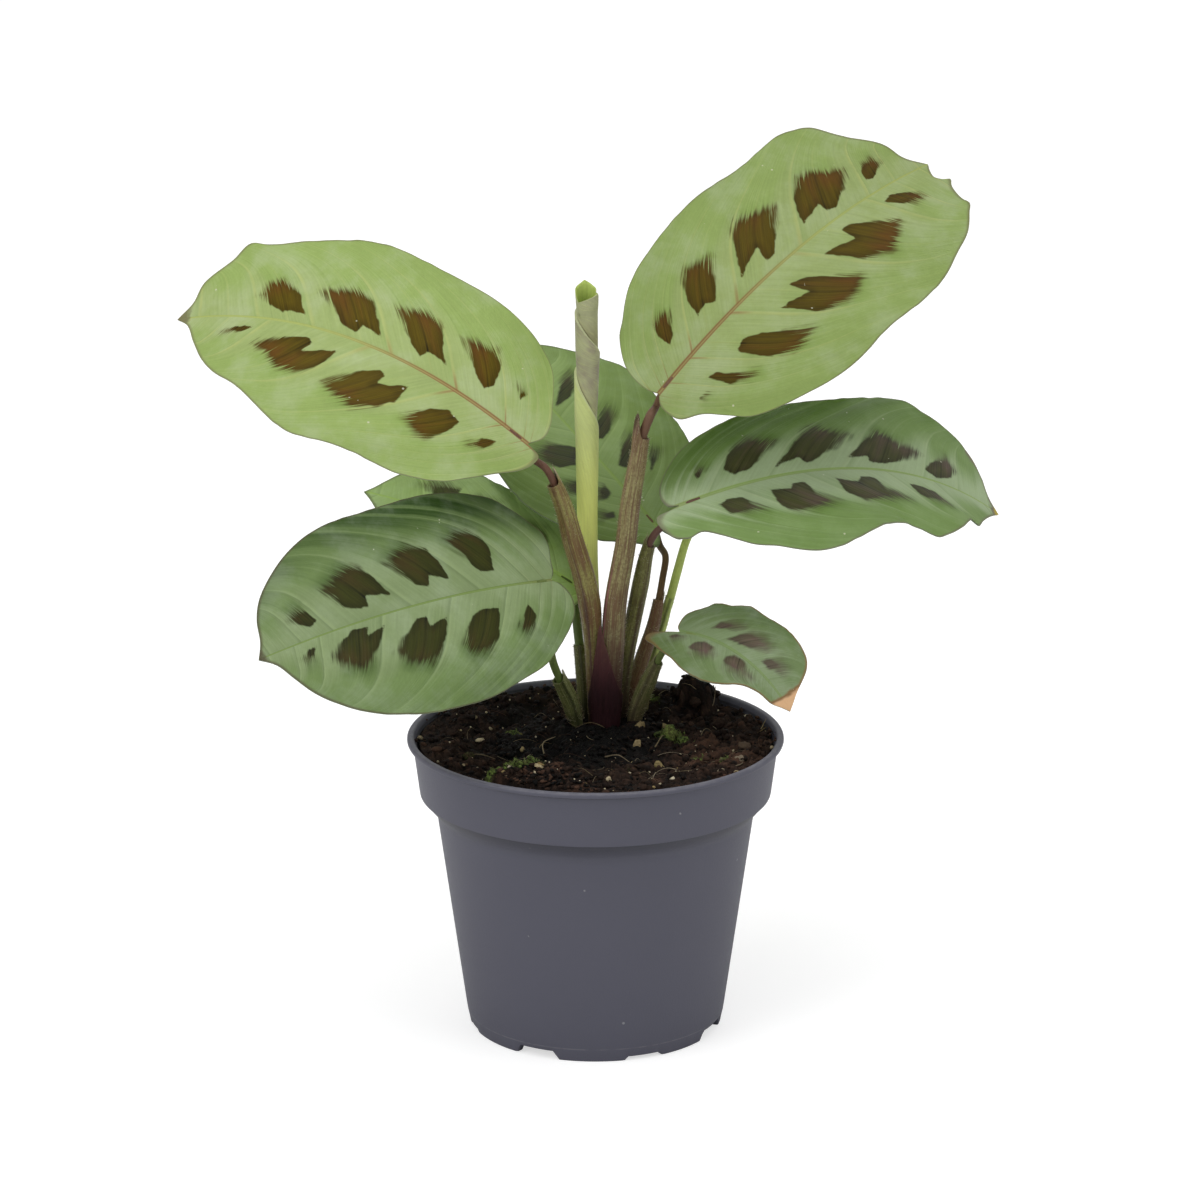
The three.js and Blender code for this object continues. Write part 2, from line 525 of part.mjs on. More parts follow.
// A sheathed stalk: rings along a smooth curve. At the sheath's end its ring is drawn up into a
// free tip on one side, and the thin stalk starts inside it.
function stalkGeometry(stalk, leaf) {
  const axes = leafAxes(leaf);
  const under = bladePoint(leaf, axes, -0.2, 0, -1.2);
  const lower = bladePoint(leaf, axes, -1.6, 0, -2.6);
  const path = [...stalk.path, [...lower.toArray(), 0.58], [...under.toArray(), 0.5]];
  const curve = new THREE.CatmullRomCurve3(path.map(([x, y, z]) => new THREE.Vector3(x, y, z)), false, "centripetal");
  const tipSide = new THREE.Vector3(Math.cos(stalk.tipAngle * radians), Math.sin(stalk.tipAngle * radians), 0);
  const sides = 8;
  const stations = [];
  const sheathEnd = stalk.sheathed - 1;
  for (let k = 0; k + 1 < path.length; k += 1) {
    for (const part of k < 1 || k > path.length - 4 ? [0] : [0, 0.5]) {
      const stepped = k === sheathEnd;
      if (stepped && part === 0) {
        stations.push([k, path[k][3], stalk.tipLength]);
        stations.push([k, path[k + 1][3], 0]);
      } else {
        const r = stepped ? path[k + 1][3] : path[k][3] + (path[k + 1][3] - path[k][3]) * part;
        stations.push([k + part, r, 0]);
      }
    }
  }
  stations.push([path.length - 1, path.at(-1)[3], 0]);
  const rings = stations.map(([position, radius, tipLength]) => {
    const centre = curve.getPoint(position / (path.length - 1));
    const tangent = curve.getTangent(position / (path.length - 1));
    const across = tipSide.clone().addScaledVector(tangent, -tipSide.dot(tangent)).normalize();
    const other = new THREE.Vector3().crossVectors(tangent, across);
    return Array.from({ length: sides }, (_, k) => {
      const angle = k / sides * 2 * Math.PI;
      const up = tipLength * Math.max(0, Math.cos(angle)) ** 2;
      return centre.clone()
        .addScaledVector(across, Math.cos(angle) * radius)
        .addScaledVector(other, Math.sin(angle) * radius)
        .addScaledVector(tangent, up).toArray();
    });
  });
  return ringTube(rings);
}

// The new leaf, still rolled: its section is a spiral with one step, which winds round the
// upper part like a ribbon's edge.
function rolledGeometry() {
  const { path, sides, overlap } = rolledLeaf;
  const curve = new THREE.CatmullRomCurve3(path.map(([x, y, z]) => new THREE.Vector3(x, y, z)), false, "centripetal");
  const rings = [];
  for (let k = 0; k + 1 < path.length; k += 1) {
    const parts = Math.max(1, Math.round((path[k + 1][2] - path[k][2]) / (path[k][2] < rolledLeaf.windFrom ? 6 : 2)));
    for (let part = 0; part < parts + (k + 2 === path.length ? 1 : 0); part += 1) {
      const position = k + part / parts;
      const radius = path[k][3] + (path[k + 1][3] - path[k][3]) * part / parts;
      const centre = curve.getPoint(position / (path.length - 1));
      const wound = Math.max(0, centre.z - rolledLeaf.windFrom) / rolledLeaf.windPerTurn;
      rings.push(Array.from({ length: sides }, (_, side) => {
        const share = THREE.MathUtils.euclideanModulo(side / sides - rolledLeaf.edgeAngle / 360 + wound, 1);
        const r = radius * (1 + overlap * (0.5 - share));
        const angle = side / sides * 2 * Math.PI;
        return [centre.x + r * Math.cos(angle), centre.y + r * Math.sin(angle), centre.z];
      }));
    }
  }
  return ringTube(rings);
}

// ---------------------------------------------------------------- assembly

const plant = new THREE.Group();
plant.add(namedMesh("pot", potGeometry(), 0x575761, 0.5));
plant.add(namedMesh("soil", soilGeometry(), 0x241a14, 0.95));
for (const [name, leaf] of Object.entries(leaves)) {
  plant.add(namedMesh(`${name}_blade`, bladeGeometry(leaf), leaf.colour, 0.45));
  plant.add(namedMesh(`${name}_stalk`, stalkGeometry(stalks[name], leaf), stalks[name].colour, 0.5));
}
plant.add(namedMesh("rolled_leaf", rolledGeometry(), rolledLeaf.colour, 0.5));

export default plant;
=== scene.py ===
import math

import bpy
import numpy as np
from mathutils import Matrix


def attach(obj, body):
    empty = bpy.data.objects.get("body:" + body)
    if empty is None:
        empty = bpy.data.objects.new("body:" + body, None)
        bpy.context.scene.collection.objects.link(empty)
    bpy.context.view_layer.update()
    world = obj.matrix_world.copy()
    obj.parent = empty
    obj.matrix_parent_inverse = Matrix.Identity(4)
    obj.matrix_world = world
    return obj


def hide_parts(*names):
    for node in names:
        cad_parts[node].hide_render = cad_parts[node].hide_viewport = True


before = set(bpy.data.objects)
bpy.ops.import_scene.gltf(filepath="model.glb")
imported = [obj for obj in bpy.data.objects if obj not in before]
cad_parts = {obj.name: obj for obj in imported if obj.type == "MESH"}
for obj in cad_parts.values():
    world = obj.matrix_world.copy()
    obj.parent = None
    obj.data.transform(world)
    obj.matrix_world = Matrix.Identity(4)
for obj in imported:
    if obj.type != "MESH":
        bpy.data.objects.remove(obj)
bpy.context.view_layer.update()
millimetre = 0.001
tau = 2 * math.pi


# Points closer together than weldStep become one; faces that this closes up lose a corner or go.
# Values are kept for each corner of a face, so they may jump where two sheets are welded.
weldStep = 0.001


def makeMesh(name, points, quads, material, values=None, replaced=(), turnOut=True):
    points = np.asarray(points, float).reshape(-1, 3)
    quads = np.asarray(quads, int).reshape(-1, 4)
    _, first, joined = np.unique(np.round(points / weldStep), axis=0, return_index=True, return_inverse=True)
    joined = joined.reshape(-1)
    same = joined[quads] == np.roll(joined[quads], -1, axis=1)
    whole = quads[same.sum(1) == 0]
    cut = [quads[(same.sum(1) == 1) & same[:, k]][:, [c for c in range(4) if c != k]] for k in range(4)]
    triangles = np.concatenate(cut)
    if turnOut:  # a closed shell's signed volume says which way its faces point
        a, b, c, d = (points[whole[:, k]] for k in range(4))
        volume = (a * np.cross(b, c)).sum() + (a * np.cross(c, d)).sum()
        p, q, r = (points[triangles[:, k]] for k in range(3))
        if volume + (p * np.cross(q, r)).sum() < 0:
            whole, triangles = whole[:, ::-1], triangles[:, ::-1]
    corners = np.concatenate([whole.reshape(-1), triangles.reshape(-1)])
    starts = np.concatenate([np.arange(len(whole)) * 4, 4 * len(whole) + np.arange(len(triangles)) * 3])
    mesh = bpy.data.meshes.new(name)
    mesh.vertices.add(len(first))
    mesh.vertices.foreach_set("co", (points[first] * millimetre).astype(np.float32).reshape(-1))
    mesh.loops.add(len(corners))
    mesh.loops.foreach_set("vertex_index", joined[corners].astype(np.int32))
    mesh.polygons.add(len(starts))
    mesh.polygons.foreach_set("loop_start", starts.astype(np.int32))
    mesh.polygons.foreach_set("use_smooth", np.ones(len(starts), bool))
    mesh.update(calc_edges=True)
    for key, value in (values or {}).items():
        value = np.asarray(value, np.float32).reshape(len(points), -1)
        kind = {1: "FLOAT", 3: "FLOAT_VECTOR"}[value.shape[1]]
        layer = mesh.attributes.new(key, kind, "CORNER")
        layer.data.foreach_set("value" if kind == "FLOAT" else "vector", value[corners].reshape(-1))
    mesh.validate()
    mesh.materials.append(material)
    piece = bpy.data.objects.new(name, mesh)
    bpy.context.scene.collection.objects.link(piece)
    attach(piece, "root")
    if replaced:
        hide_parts(*replaced)
    return piece


# Corner numbers of the squares between neighbouring rows and columns of a grid of points.
def gridQuads(rows, columns, start=0):
    corner = start + np.arange((rows - 1) * columns).reshape(rows - 1, columns)[:, :-1].reshape(-1)
    return np.stack([corner, corner + 1, corner + columns + 1, corner + columns], axis=1)


# A smooth curve through the points (centripetal Catmull-Rom): cubic pieces whose slopes come from
# the neighbours, weighted by the root of the distances. A position of 2.5 is half way from point 2 to 3.
def smoothCurve(points, positions):
    p = np.asarray(points, float)
    p = np.vstack([2 * p[0] - p[1], p, 2 * p[-1] - p[-2]])
    piece = np.clip(np.floor(positions).astype(int), 0, len(p) - 4)
    t = (np.asarray(positions) - piece)[:, None]
    x0, x1, x2, x3 = (p[piece + k] for k in range(4))
    d0, d1, d2 = (np.sqrt(np.linalg.norm(b - a, axis=1))[:, None] for a, b in ((x0, x1), (x1, x2), (x2, x3)))
    out = ((x1 - x0) / d0 - (x2 - x0) / (d0 + d1) + (x2 - x1) / d1) * d1
    into = ((x2 - x1) / d1 - (x3 - x1) / (d1 + d2) + (x3 - x2) / d2) * d1
    return x1 + out * t + (3 * (x2 - x1) - 2 * out - into) * t ** 2 + (2 * (x1 - x2) + out + into) * t ** 3


# Vectors of length 1 in the same directions.
def unit(v):
    return v / np.linalg.norm(v, axis=-1, keepdims=True)


# Smooth step from 0 at low to 1 at high: 3 t^2 - 2 t^3.
def ease(value, low, high):
    t = np.clip((value - low) / (high - low), 0, 1)
    return t * t * (3 - 2 * t)


# A repeatable random number from 0 to 1 for each pair of whole numbers.
def hashed(i, j, seed):
    return np.modf(np.abs(np.sin(i * 127.1 + j * 311.7 + seed * 74.7) * 43758.5453))[0]


# Smooth noise: random heights at whole numbers, eased in between. Runs from -1 to 1.
def softNoise(x, y, seed):
    i, j = np.floor(x), np.floor(y)
    u, v = x - i, y - j
    u, v = u * u * (3 - 2 * u), v * v * (3 - 2 * v)
    low = hashed(i, j, seed) * (1 - u) + hashed(i + 1, j, seed) * u
    high = hashed(i, j + 1, seed) * (1 - u) + hashed(i + 1, j + 1, seed) * u
    return (low * (1 - v) + high * v) * 2 - 1


# Round grains: each square of the plane holds one at a random place. Gives how high a point is on
# the nearest grain (1 in its middle, 0 between grains) and that grain's random number.
def grains(x, y, seed):
    i, j = np.floor(x), np.floor(y)
    nearest, number = np.full(x.shape, 9.0), np.zeros(x.shape)
    for di in (-1, 0, 1):
        for dj in (-1, 0, 1):
            gi, gj = i + di, j + dj
            away = np.hypot(x - gi - hashed(gi, gj, seed), y - gj - hashed(gi, gj, seed + 5))
            closer = away < nearest
            nearest = np.where(closer, away, nearest)
            number = np.where(closer, hashed(gi, gj, seed + 9), number)
    return np.sqrt(np.clip(1 - (nearest / 0.9) ** 2, 0, 1)), number


# Screen colour (0-255) to the linear colour that the shader takes.
def tone(red, green, blue, lightness=1.0):
    c = np.array([red, green, blue]) / 255
    c = lightness * np.where(c <= 0.04045, c / 12.92, ((c + 0.055) / 1.055) ** 2.4)
    return (*(float(v) for v in c), 1.0)


# A shader value that can be added, taken away, multiplied and so on: each sign makes a Math node.
class Signal:
    def __init__(self, socket):
        self.socket, self.tree = socket, socket.id_data

    def __add__(self, other):
        return calc("ADD", self, other)

    def __sub__(self, other):
        return calc("SUBTRACT", self, other)

    def __rsub__(self, other):
        return calc("SUBTRACT", other, self)

    def __mul__(self, other):
        return calc("MULTIPLY", self, other)

    def __truediv__(self, other):
        return calc("DIVIDE", self, other)

    def __pow__(self, other):
        return calc("POWER", self, other)

    def __abs__(self):
        return calc("ABSOLUTE", self)


# Adds a node, sets its options and fills its inputs with plain values or with signals.
def addNode(tree, kind, inputs=None, **options):
    made = tree.nodes.new(kind)
    for key, value in options.items():
        setattr(made, key, value)
    for key, value in (inputs or {}).items():
        if isinstance(value, Signal):
            tree.links.new(value.socket, made.inputs[key])
        else:
            made.inputs[key].default_value = value
    return made


# One output of a new node. Its tree is the one that its first signal is in.
def pick(kind, output, inputs, tree=None, **options):
    tree = tree or next(value.tree for value in inputs.values() if isinstance(value, Signal))
    return Signal(addNode(tree, kind, inputs, **options).outputs[output])


def calc(operation, a, b=0.0, c=0.0):
    return pick("ShaderNodeMath", 0, {0: a, 1: b, 2: c}, operation=operation)


def mixColour(factor, a, b):
    return pick("ShaderNodeMix", 2, {0: factor, 6: a, 7: b}, data_type="RGBA", clamp_factor=True)


# Smooth step of a value from low to high, put between two new values.
def remap(value, low, high, newLow=0.0, newHigh=1.0):
    inputs = {0: value, 1: low, 2: high, 3: newLow, 4: newHigh}
    return pick("ShaderNodeMapRange", 0, inputs, interpolation_type="SMOOTHSTEP")


def noiseValue(vector, scale, detail=2.0, rough=0.5, kind="3D"):
    inputs = {"Vector": vector, "Scale": scale, "Detail": detail, "Roughness": rough}
    return pick("ShaderNodeTexNoise", 0, inputs, noise_dimensions=kind)


def scaleColour(colour, factor):
    return pick("ShaderNodeVectorMath", 0, {0: colour, "Scale": factor}, operation="SCALE")


def splitVector(vector):
    made = addNode(vector.tree, "ShaderNodeSeparateXYZ", {0: vector})
    return [Signal(output) for output in made.outputs]


def joinVector(x=0.0, y=0.0, z=0.0):
    return pick("ShaderNodeCombineXYZ", 0, {0: x, 1: y, 2: z})


# A value that the mesh carries under this name.
def surfaceValue(tree, name, output="Vector"):
    return pick("ShaderNodeAttribute", output, {}, tree, attribute_name=name)


def objectPlace(tree):
    return pick("ShaderNodeTexCoord", "Object", {}, tree)


black = (0.0, 0.0, 0.0, 1.0)
surfaceOutputs = {"Color": "NodeSocketColor", "Roughness": "NodeSocketFloat", "Height": "NodeSocketFloat"}


# A shader node group with named inputs (a number or a colour each) and outputs.
def makeGroup(name, inputs, outputs):
    tree = bpy.data.node_groups.new(name, "ShaderNodeTree")
    for key, value in inputs.items():
        kind = "NodeSocketFloat" if isinstance(value, (int, float)) else "NodeSocketColor"
        tree.interface.new_socket(key, in_out="INPUT", socket_type=kind).default_value = value
    for key, kind in outputs.items():
        tree.interface.new_socket(key, in_out="OUTPUT", socket_type=kind)
    given = {socket.name: Signal(socket) for socket in tree.nodes.new("NodeGroupInput").outputs
             if socket.name}
    return tree, given, tree.nodes.new("NodeGroupOutput")


# A material of one Principled shader; its plain numbers are set on the shader itself.
def makeMaterial(name, **numbers):
    material = bpy.data.materials.new(name)
    material.use_nodes = True
    tree = material.node_tree
    shader = tree.nodes["Principled BSDF"]
    for key, value in numbers.items():
        shader.inputs[key.replace("_", " ")].default_value = value
    return material, tree, shader


def useGroup(tree, group, inputs):
    made = addNode(tree, "ShaderNodeGroup", inputs, node_tree=group)
    return {socket.name: Signal(socket) for socket in made.outputs}


# Links signals into a node's inputs, which are named here with _ for a space.
def fill(node, **signals):
    for key, value in signals.items():
        value.tree.links.new(value.socket, node.inputs[key.replace("_", " ")])


def linkBump(shader, height, distance, strength):
    inputs = {"Strength": strength, "Distance": distance, "Height": height}
    fill(shader, Normal=pick("ShaderNodeBump", 0, inputs))


# Soft patches of lighter and darker colour with fine specks, on Object coordinates.
def makeMottle():
    tree, given, result = makeGroup(
        "softMottle", {"Color": (0.5, 0.5, 0.5, 1), "Patch Size": 200.0, "Patch Amount": 0.1,
                       "Speck Color": (0.8, 0.8, 0.8, 1), "Speck Size": 2500.0, "Speck Share": 0.03},
        {"Color": "NodeSocketColor", "Patches": "NodeSocketFloat", "Specks": "NodeSocketFloat"})
    place = objectPlace(tree)
    patches = noiseValue(place, given["Patch Size"], 4.0, 0.6)
    shade = (patches - 0.5) * (given["Patch Amount"] * 4.0) + 1.0
    scaled = scaleColour(given["Color"], shade)
    spots = pick("ShaderNodeTexVoronoi", "Distance", {"Vector": place, "Scale": given["Speck Size"]})
    rare = noiseValue(place, given["Speck Size"] * 0.37, 1.0)
    near = remap(spots, 0.12, 0.2, 1.0, 0.0)
    chosen = calc("GREATER_THAN", rare, 0.72 - given["Speck Share"])
    specks = near * chosen
    fill(result, Color=mixColour(specks * 0.7, scaled, given["Speck Color"]), Patches=patches, Specks=specks)
    return tree


mottleGroup = makeMottle()


# Leaf pattern, from the blade's own values:
#   leafPlace = vein number, share of the way out, how deep the green is, painted shade included
#   leafMarks = millimetres to the nearest blotch (below 0 inside), feathering, millimetres to the edge
#   leafSide = 1 on the face and 0 underneath, millimetres from the midrib, share along the midrib
def makeLeafPattern():
    tree, given, result = makeGroup(
        "leafPattern", {**dict.fromkeys(("Outer", "Deep", "Pale", "Blotch", "Blotch Red", "Vein",
                                         "Midrib Foot", "Midrib Tip", "Edge", "Under", "Under Blotch",
                                         "Bloom", "Scorch"), black), "Red Reach": 0.5, "Pale Reach": 0.3,
                        "Pale Arms": 0.4, "Streaks": 0.15, "Torn": 2.0, "Blur": 1.0, "Bloom Amount": 0.1,
                        "Vein Amount": 0.6, "Midrib Width": 1.0, "Scorched From": 0.98, "Sheen": 0.5},
        surfaceOutputs)
    vein, out, greenDepthAndShade = splitVector(surfaceValue(tree, "leafPlace"))
    blotch, feather, edge = splitVector(surfaceValue(tree, "leafMarks"))
    top, fromMidrib, along = splitVector(surfaceValue(tree, "leafSide"))
    place = objectPlace(tree)

    # streaks that run along the veins, fine, hair-fine and coarse, and clouds that do not
    fine = noiseValue(joinVector(vein * 15.0, out * 2.0), 1.0, 3.0, 0.6, "2D")
    hair = noiseValue(joinVector(vein * 44.0, out * 2.6), 1.0, 2.0, 0.5, "2D")
    broad = noiseValue(joinVector(vein * 4.2, out * 1.6, 3.0), 1.0, 2.0)
    cloud = noiseValue(place, 150.0, 4.0, 0.6)
    grain = noiseValue(place, 1900.0, 3.0, 0.65)
    streak = fine - 0.5

    # a main vein runs where the number is whole; the pale strip lies mostly on its base side
    part = calc("FRACT", vein)
    onVein = calc("MAXIMUM", remap(part, 0.62, 0.9), remap(part, 0.02, 0.2, 1.0, 0.0))
    cycle = abs(calc("FRACT", vein + 0.5) - 0.5)
    mainLine = remap(cycle, 0.0, 0.05, 1.0, 0.0)
    halfLine = remap(abs(part - 0.5), 0.0, 0.03, 1.0, 0.0)
    uneven = noiseValue(joinVector(vein * 1.3, out * 5.0, 7.0), 1.0, 2.0)
    besideLine = remap(part, 0.02, 0.05) * remap(part, 0.06, 0.16, 1.0, 0.0)
    ribs = calc("SINE", vein * (tau * 14))

    # green ground: pale round the midrib and out along the veins, deeper further out
    reach = onVein * given["Pale Arms"] + given["Pale Reach"] + streak * 0.14
    pale = remap(out - reach, -0.24, 0.26, 1.0, 0.0)
    # deeper green further out; on a half turned from the light part of it is painted shade
    deep = greenDepthAndShade + (broad - 0.5) * 0.4 + (cloud - 0.5) * 0.5
    deep = remap(deep, 0.05, 0.95) * remap(onVein, 0.0, 1.0, 1.0, 0.55)
    colour = mixColour(deep, given["Outer"], given["Deep"])
    halo = remap(blotch, 0.0, 2.6, 1.0, 0.0) * feather
    colour = mixColour(halo * 0.5, colour, given["Deep"])
    colour = mixColour(pale, colour, given["Pale"])
    # a whitish-grey veil in cloud patches: painted sheen
    paintedSheen = remap(cloud + streak * 0.12, 0.4, 0.72) * given["Bloom Amount"]
    colour = mixColour(paintedSheen, colour, given["Bloom"])
    stripe = ((streak + hair - 0.5) * given["Streaks"] + ribs * 0.012 + (grain - 0.5) * 0.14
              + (cloud - 0.5) * 0.4 + 1.0)
    colour = scaleColour(colour, stripe)

    # side veins with a shaded side, then the blotches with ends torn along the veins
    fadeOut = remap(out, 0.4, 1.0, 1.0, 0.25)
    lines = calc("MAXIMUM", mainLine, halfLine * 0.4)
    lines = lines * fadeOut * remap(uneven, 0.3, 0.6, 0.35, 1.0) * given["Vein Amount"]
    shaded = besideLine * fadeOut * 0.2
    colour = mixColour(shaded, colour, given["Deep"])
    colour = mixColour(lines, colour, given["Vein"])
    spikes = remap(hair, 0.56, 0.68)
    torn = (streak + spikes * 0.45) * (feather * given["Torn"])
    wavy = noiseValue(place, 420.0, 2.0, 0.5) - 0.5
    blotchEdge = blotch + torn + streak * 0.25 + wavy * 0.9
    softness = (feather + 0.2) * given["Blur"]
    inBlotch = remap(blotchEdge / softness, -0.7, 0.7, 1.0, 0.0)
    redness = remap(broad + feather * 0.25, 0.45, 0.85)
    blotchColour = mixColour(redness, given["Blotch"], given["Blotch Red"])
    blotchShade = ((streak + hair - 0.5) * 0.7 + halfLine * -0.3
                   + remap(blotchEdge, -1.6, -0.1, 0.12, -0.22) + 1.0)
    blotchColour = scaleColour(blotchColour, blotchShade)
    colour = mixColour(inBlotch, colour, blotchColour)

    # midrib: red-brown from the foot with a paler middle, green beyond; its red runs into the side veins
    redPart = remap(along - given["Red Reach"], -0.3, 0.15, 1.0, 0.0)
    halfWidth = (along * -0.26 + 0.44) * given["Midrib Width"]
    across = fromMidrib / halfWidth
    middle = remap(across, 0.1, 0.5, 1.0, 0.0)
    midribColour = mixColour(redPart, given["Midrib Tip"], given["Midrib Foot"])
    midribColour = mixColour(middle * 0.35, midribColour, given["Vein"])
    onMidrib = remap(across, 0.6, 1.15, 1.0, 0.0)
    redSpread = mainLine * redPart * remap(fromMidrib, 0.8, 3.5, 0.65, 0.0)
    colour = mixColour(redSpread, colour, given["Midrib Foot"])
    colour = mixColour(onMidrib * 0.9, colour, midribColour)
    rim = remap(edge, 0.05, 0.38, 1.0, 0.0) * 0.8
    colour = mixColour(rim, colour, given["Edge"])

    # the very tip dries out, brown first and then tan
    dry = (cloud - 0.5) * 0.12 + along - given["Scorched From"]
    colour = mixColour(remap(dry, -0.012, 0.006), colour, given["Edge"])
    colour = mixColour(remap(dry, 0.006, 0.03), colour, given["Scorch"])

    # underneath the blotches only show faintly
    under = mixColour(inBlotch * 0.6, given["Under"], given["Under Blotch"])
    under = scaleColour(under, stripe)
    ridges = calc("MAXIMUM", onMidrib, mainLine * 0.5)
    under = mixColour(ridges * 0.6, under, given["Vein"])
    colour = mixColour(top, under, colour)

    rough = streak * 0.2 + (cloud - 0.5) * 0.2 + given["Sheen"]
    height = lines * 0.9 + ribs * 0.08 + fine * 0.4 + grain * 0.2
    fill(result, Color=colour, Roughness=rough, Height=height)
    return tree


leafPattern = makeLeafPattern()


# Sheath and stalk pattern, from the stalk's own values:
#   stalkPlace = share of the way round, millimetres from the root, 1 at a sheath's free tip
#   stalkZones = 1 on the sheath and 0 on the thin stalk, share of the height, millimetres to the seam
def makeStalkPattern():
    tree, given, result = makeGroup(
        "stalkPattern",
        {**dict.fromkeys(("Sheath", "Streak", "Foot", "Thin Stalk", "Tip", "Seam"), black),
         "Streak Amount": 0.5, "Foot Height": 14.0},
        surfaceOutputs)
    around, along, tip = splitVector(surfaceValue(tree, "stalkPlace"))
    sheath, _, seam = splitVector(surfaceValue(tree, "stalkZones"))
    place = objectPlace(tree)
    long = joinVector(around * 44.0, along * 0.1)
    streak = noiseValue(long, 1.0, 5.0, 0.72, "2D")
    thin = joinVector(around * 95.0, along * 0.25)
    fibre = noiseValue(thin, 1.0, 2.0, 0.6, "2D")
    cloud = noiseValue(place, 160.0, 3.0, 0.6)
    grain = noiseValue(place, 2400.0, 2.0)
    band = remap(streak + (cloud - 0.5) * 0.5, 0.4, 0.62)
    # the light streaks are broken up into short hairs
    band = band * remap(grain, 0.3, 0.6, 0.45, 1.0)
    colour = mixColour(band * given["Streak Amount"], given["Sheath"], given["Streak"])
    low = along - (streak - 0.5) * 8.0
    atFoot = remap(low / given["Foot Height"], 0.45, 1.45, 1.0, 0.0)
    colour = mixColour(atFoot, colour, given["Foot"])
    onSeam = remap(seam, 0.1, 0.5, 1.0, 0.0) * remap(along, 26.0, 40.0, 0.75, 0.2)
    colour = mixColour(onSeam, colour, given["Seam"])
    colour = mixColour(tip, colour, given["Tip"])
    colour = mixColour(sheath, given["Thin Stalk"], colour)
    shade = (fibre - 0.5) * 0.6 + 1.0
    shade = shade + (grain - 0.5) * 0.25
    # darker where it comes out of the soil: partly soil dirt, partly painted shade
    shade = shade - remap(along + cloud * 2.0, 7.0, 14.0, 0.55, 0.0)
    colour = scaleColour(colour, shade)
    fill(result, Color=colour, Roughness=fibre * 0.25 + 0.36)
    height = fibre * 0.7 + grain * 0.3
    fill(result, Height=height)
    return tree


stalkPattern = makeStalkPattern()
print("materials: shared effects ready")


potValues = {
    "height": 48, "lipRadius": 30, "lipInner": 28.85, "collarTop": 29.1, "collarLow": 28.05, "collarZ": 38.7,
    "shoulderZ": 35.5, "shoulder": 25.35, "footTop": 20.6, "wall": 0.75,
    "footRadius": 20.3, "footHeight": 2, "footThickness": 1.3,
    # gaps in the foot ring: degrees to the right of the front, width, height
    "gaps": [(-27.5, 19, 1.35), (22.5, 17, 0.6), (67, 20, 1.4), (112, 19, 1.4), (157, 19, 1.4),
             (202, 19, 1.4), (247, 19, 1.4), (286, 12, 0.4)],
    "floorTop": 3.2, "padRadius": 7, "drainCount": 6, "drainRadius": 2.2, "drainCircle": 12.5,
    # underCollar: the share of the colour that the painted shadow under the collar leaves at its darkest
    "segments": 240, "plastic": (82, 82, 94), "scuffedAndHighlitPlastic": (112, 111, 118), "underCollar": 0.5,
}


# Rounds a profile's corners: each corner becomes a short parabola between points on its two sides.
def roundCorners(profile, radius, steps=4):
    profile = np.asarray(profile, float)
    before, here, after = profile[:-2], profile[1:-1], profile[2:]
    reach = [np.minimum(radius, 0.45 * np.linalg.norm(other - here, axis=1))[:, None]
             for other in (before, after)]
    start = here + unit(before - here) * reach[0]
    end = here + unit(after - here) * reach[1]
    t = np.linspace(0, 1, steps)[None, :, None]
    arcs = start[:, None] * (1 - t) ** 2 + 2 * here[:, None] * t * (1 - t) + end[:, None] * t ** 2
    return np.vstack([profile[:1], arcs.reshape(-1, 2), profile[-1:]])


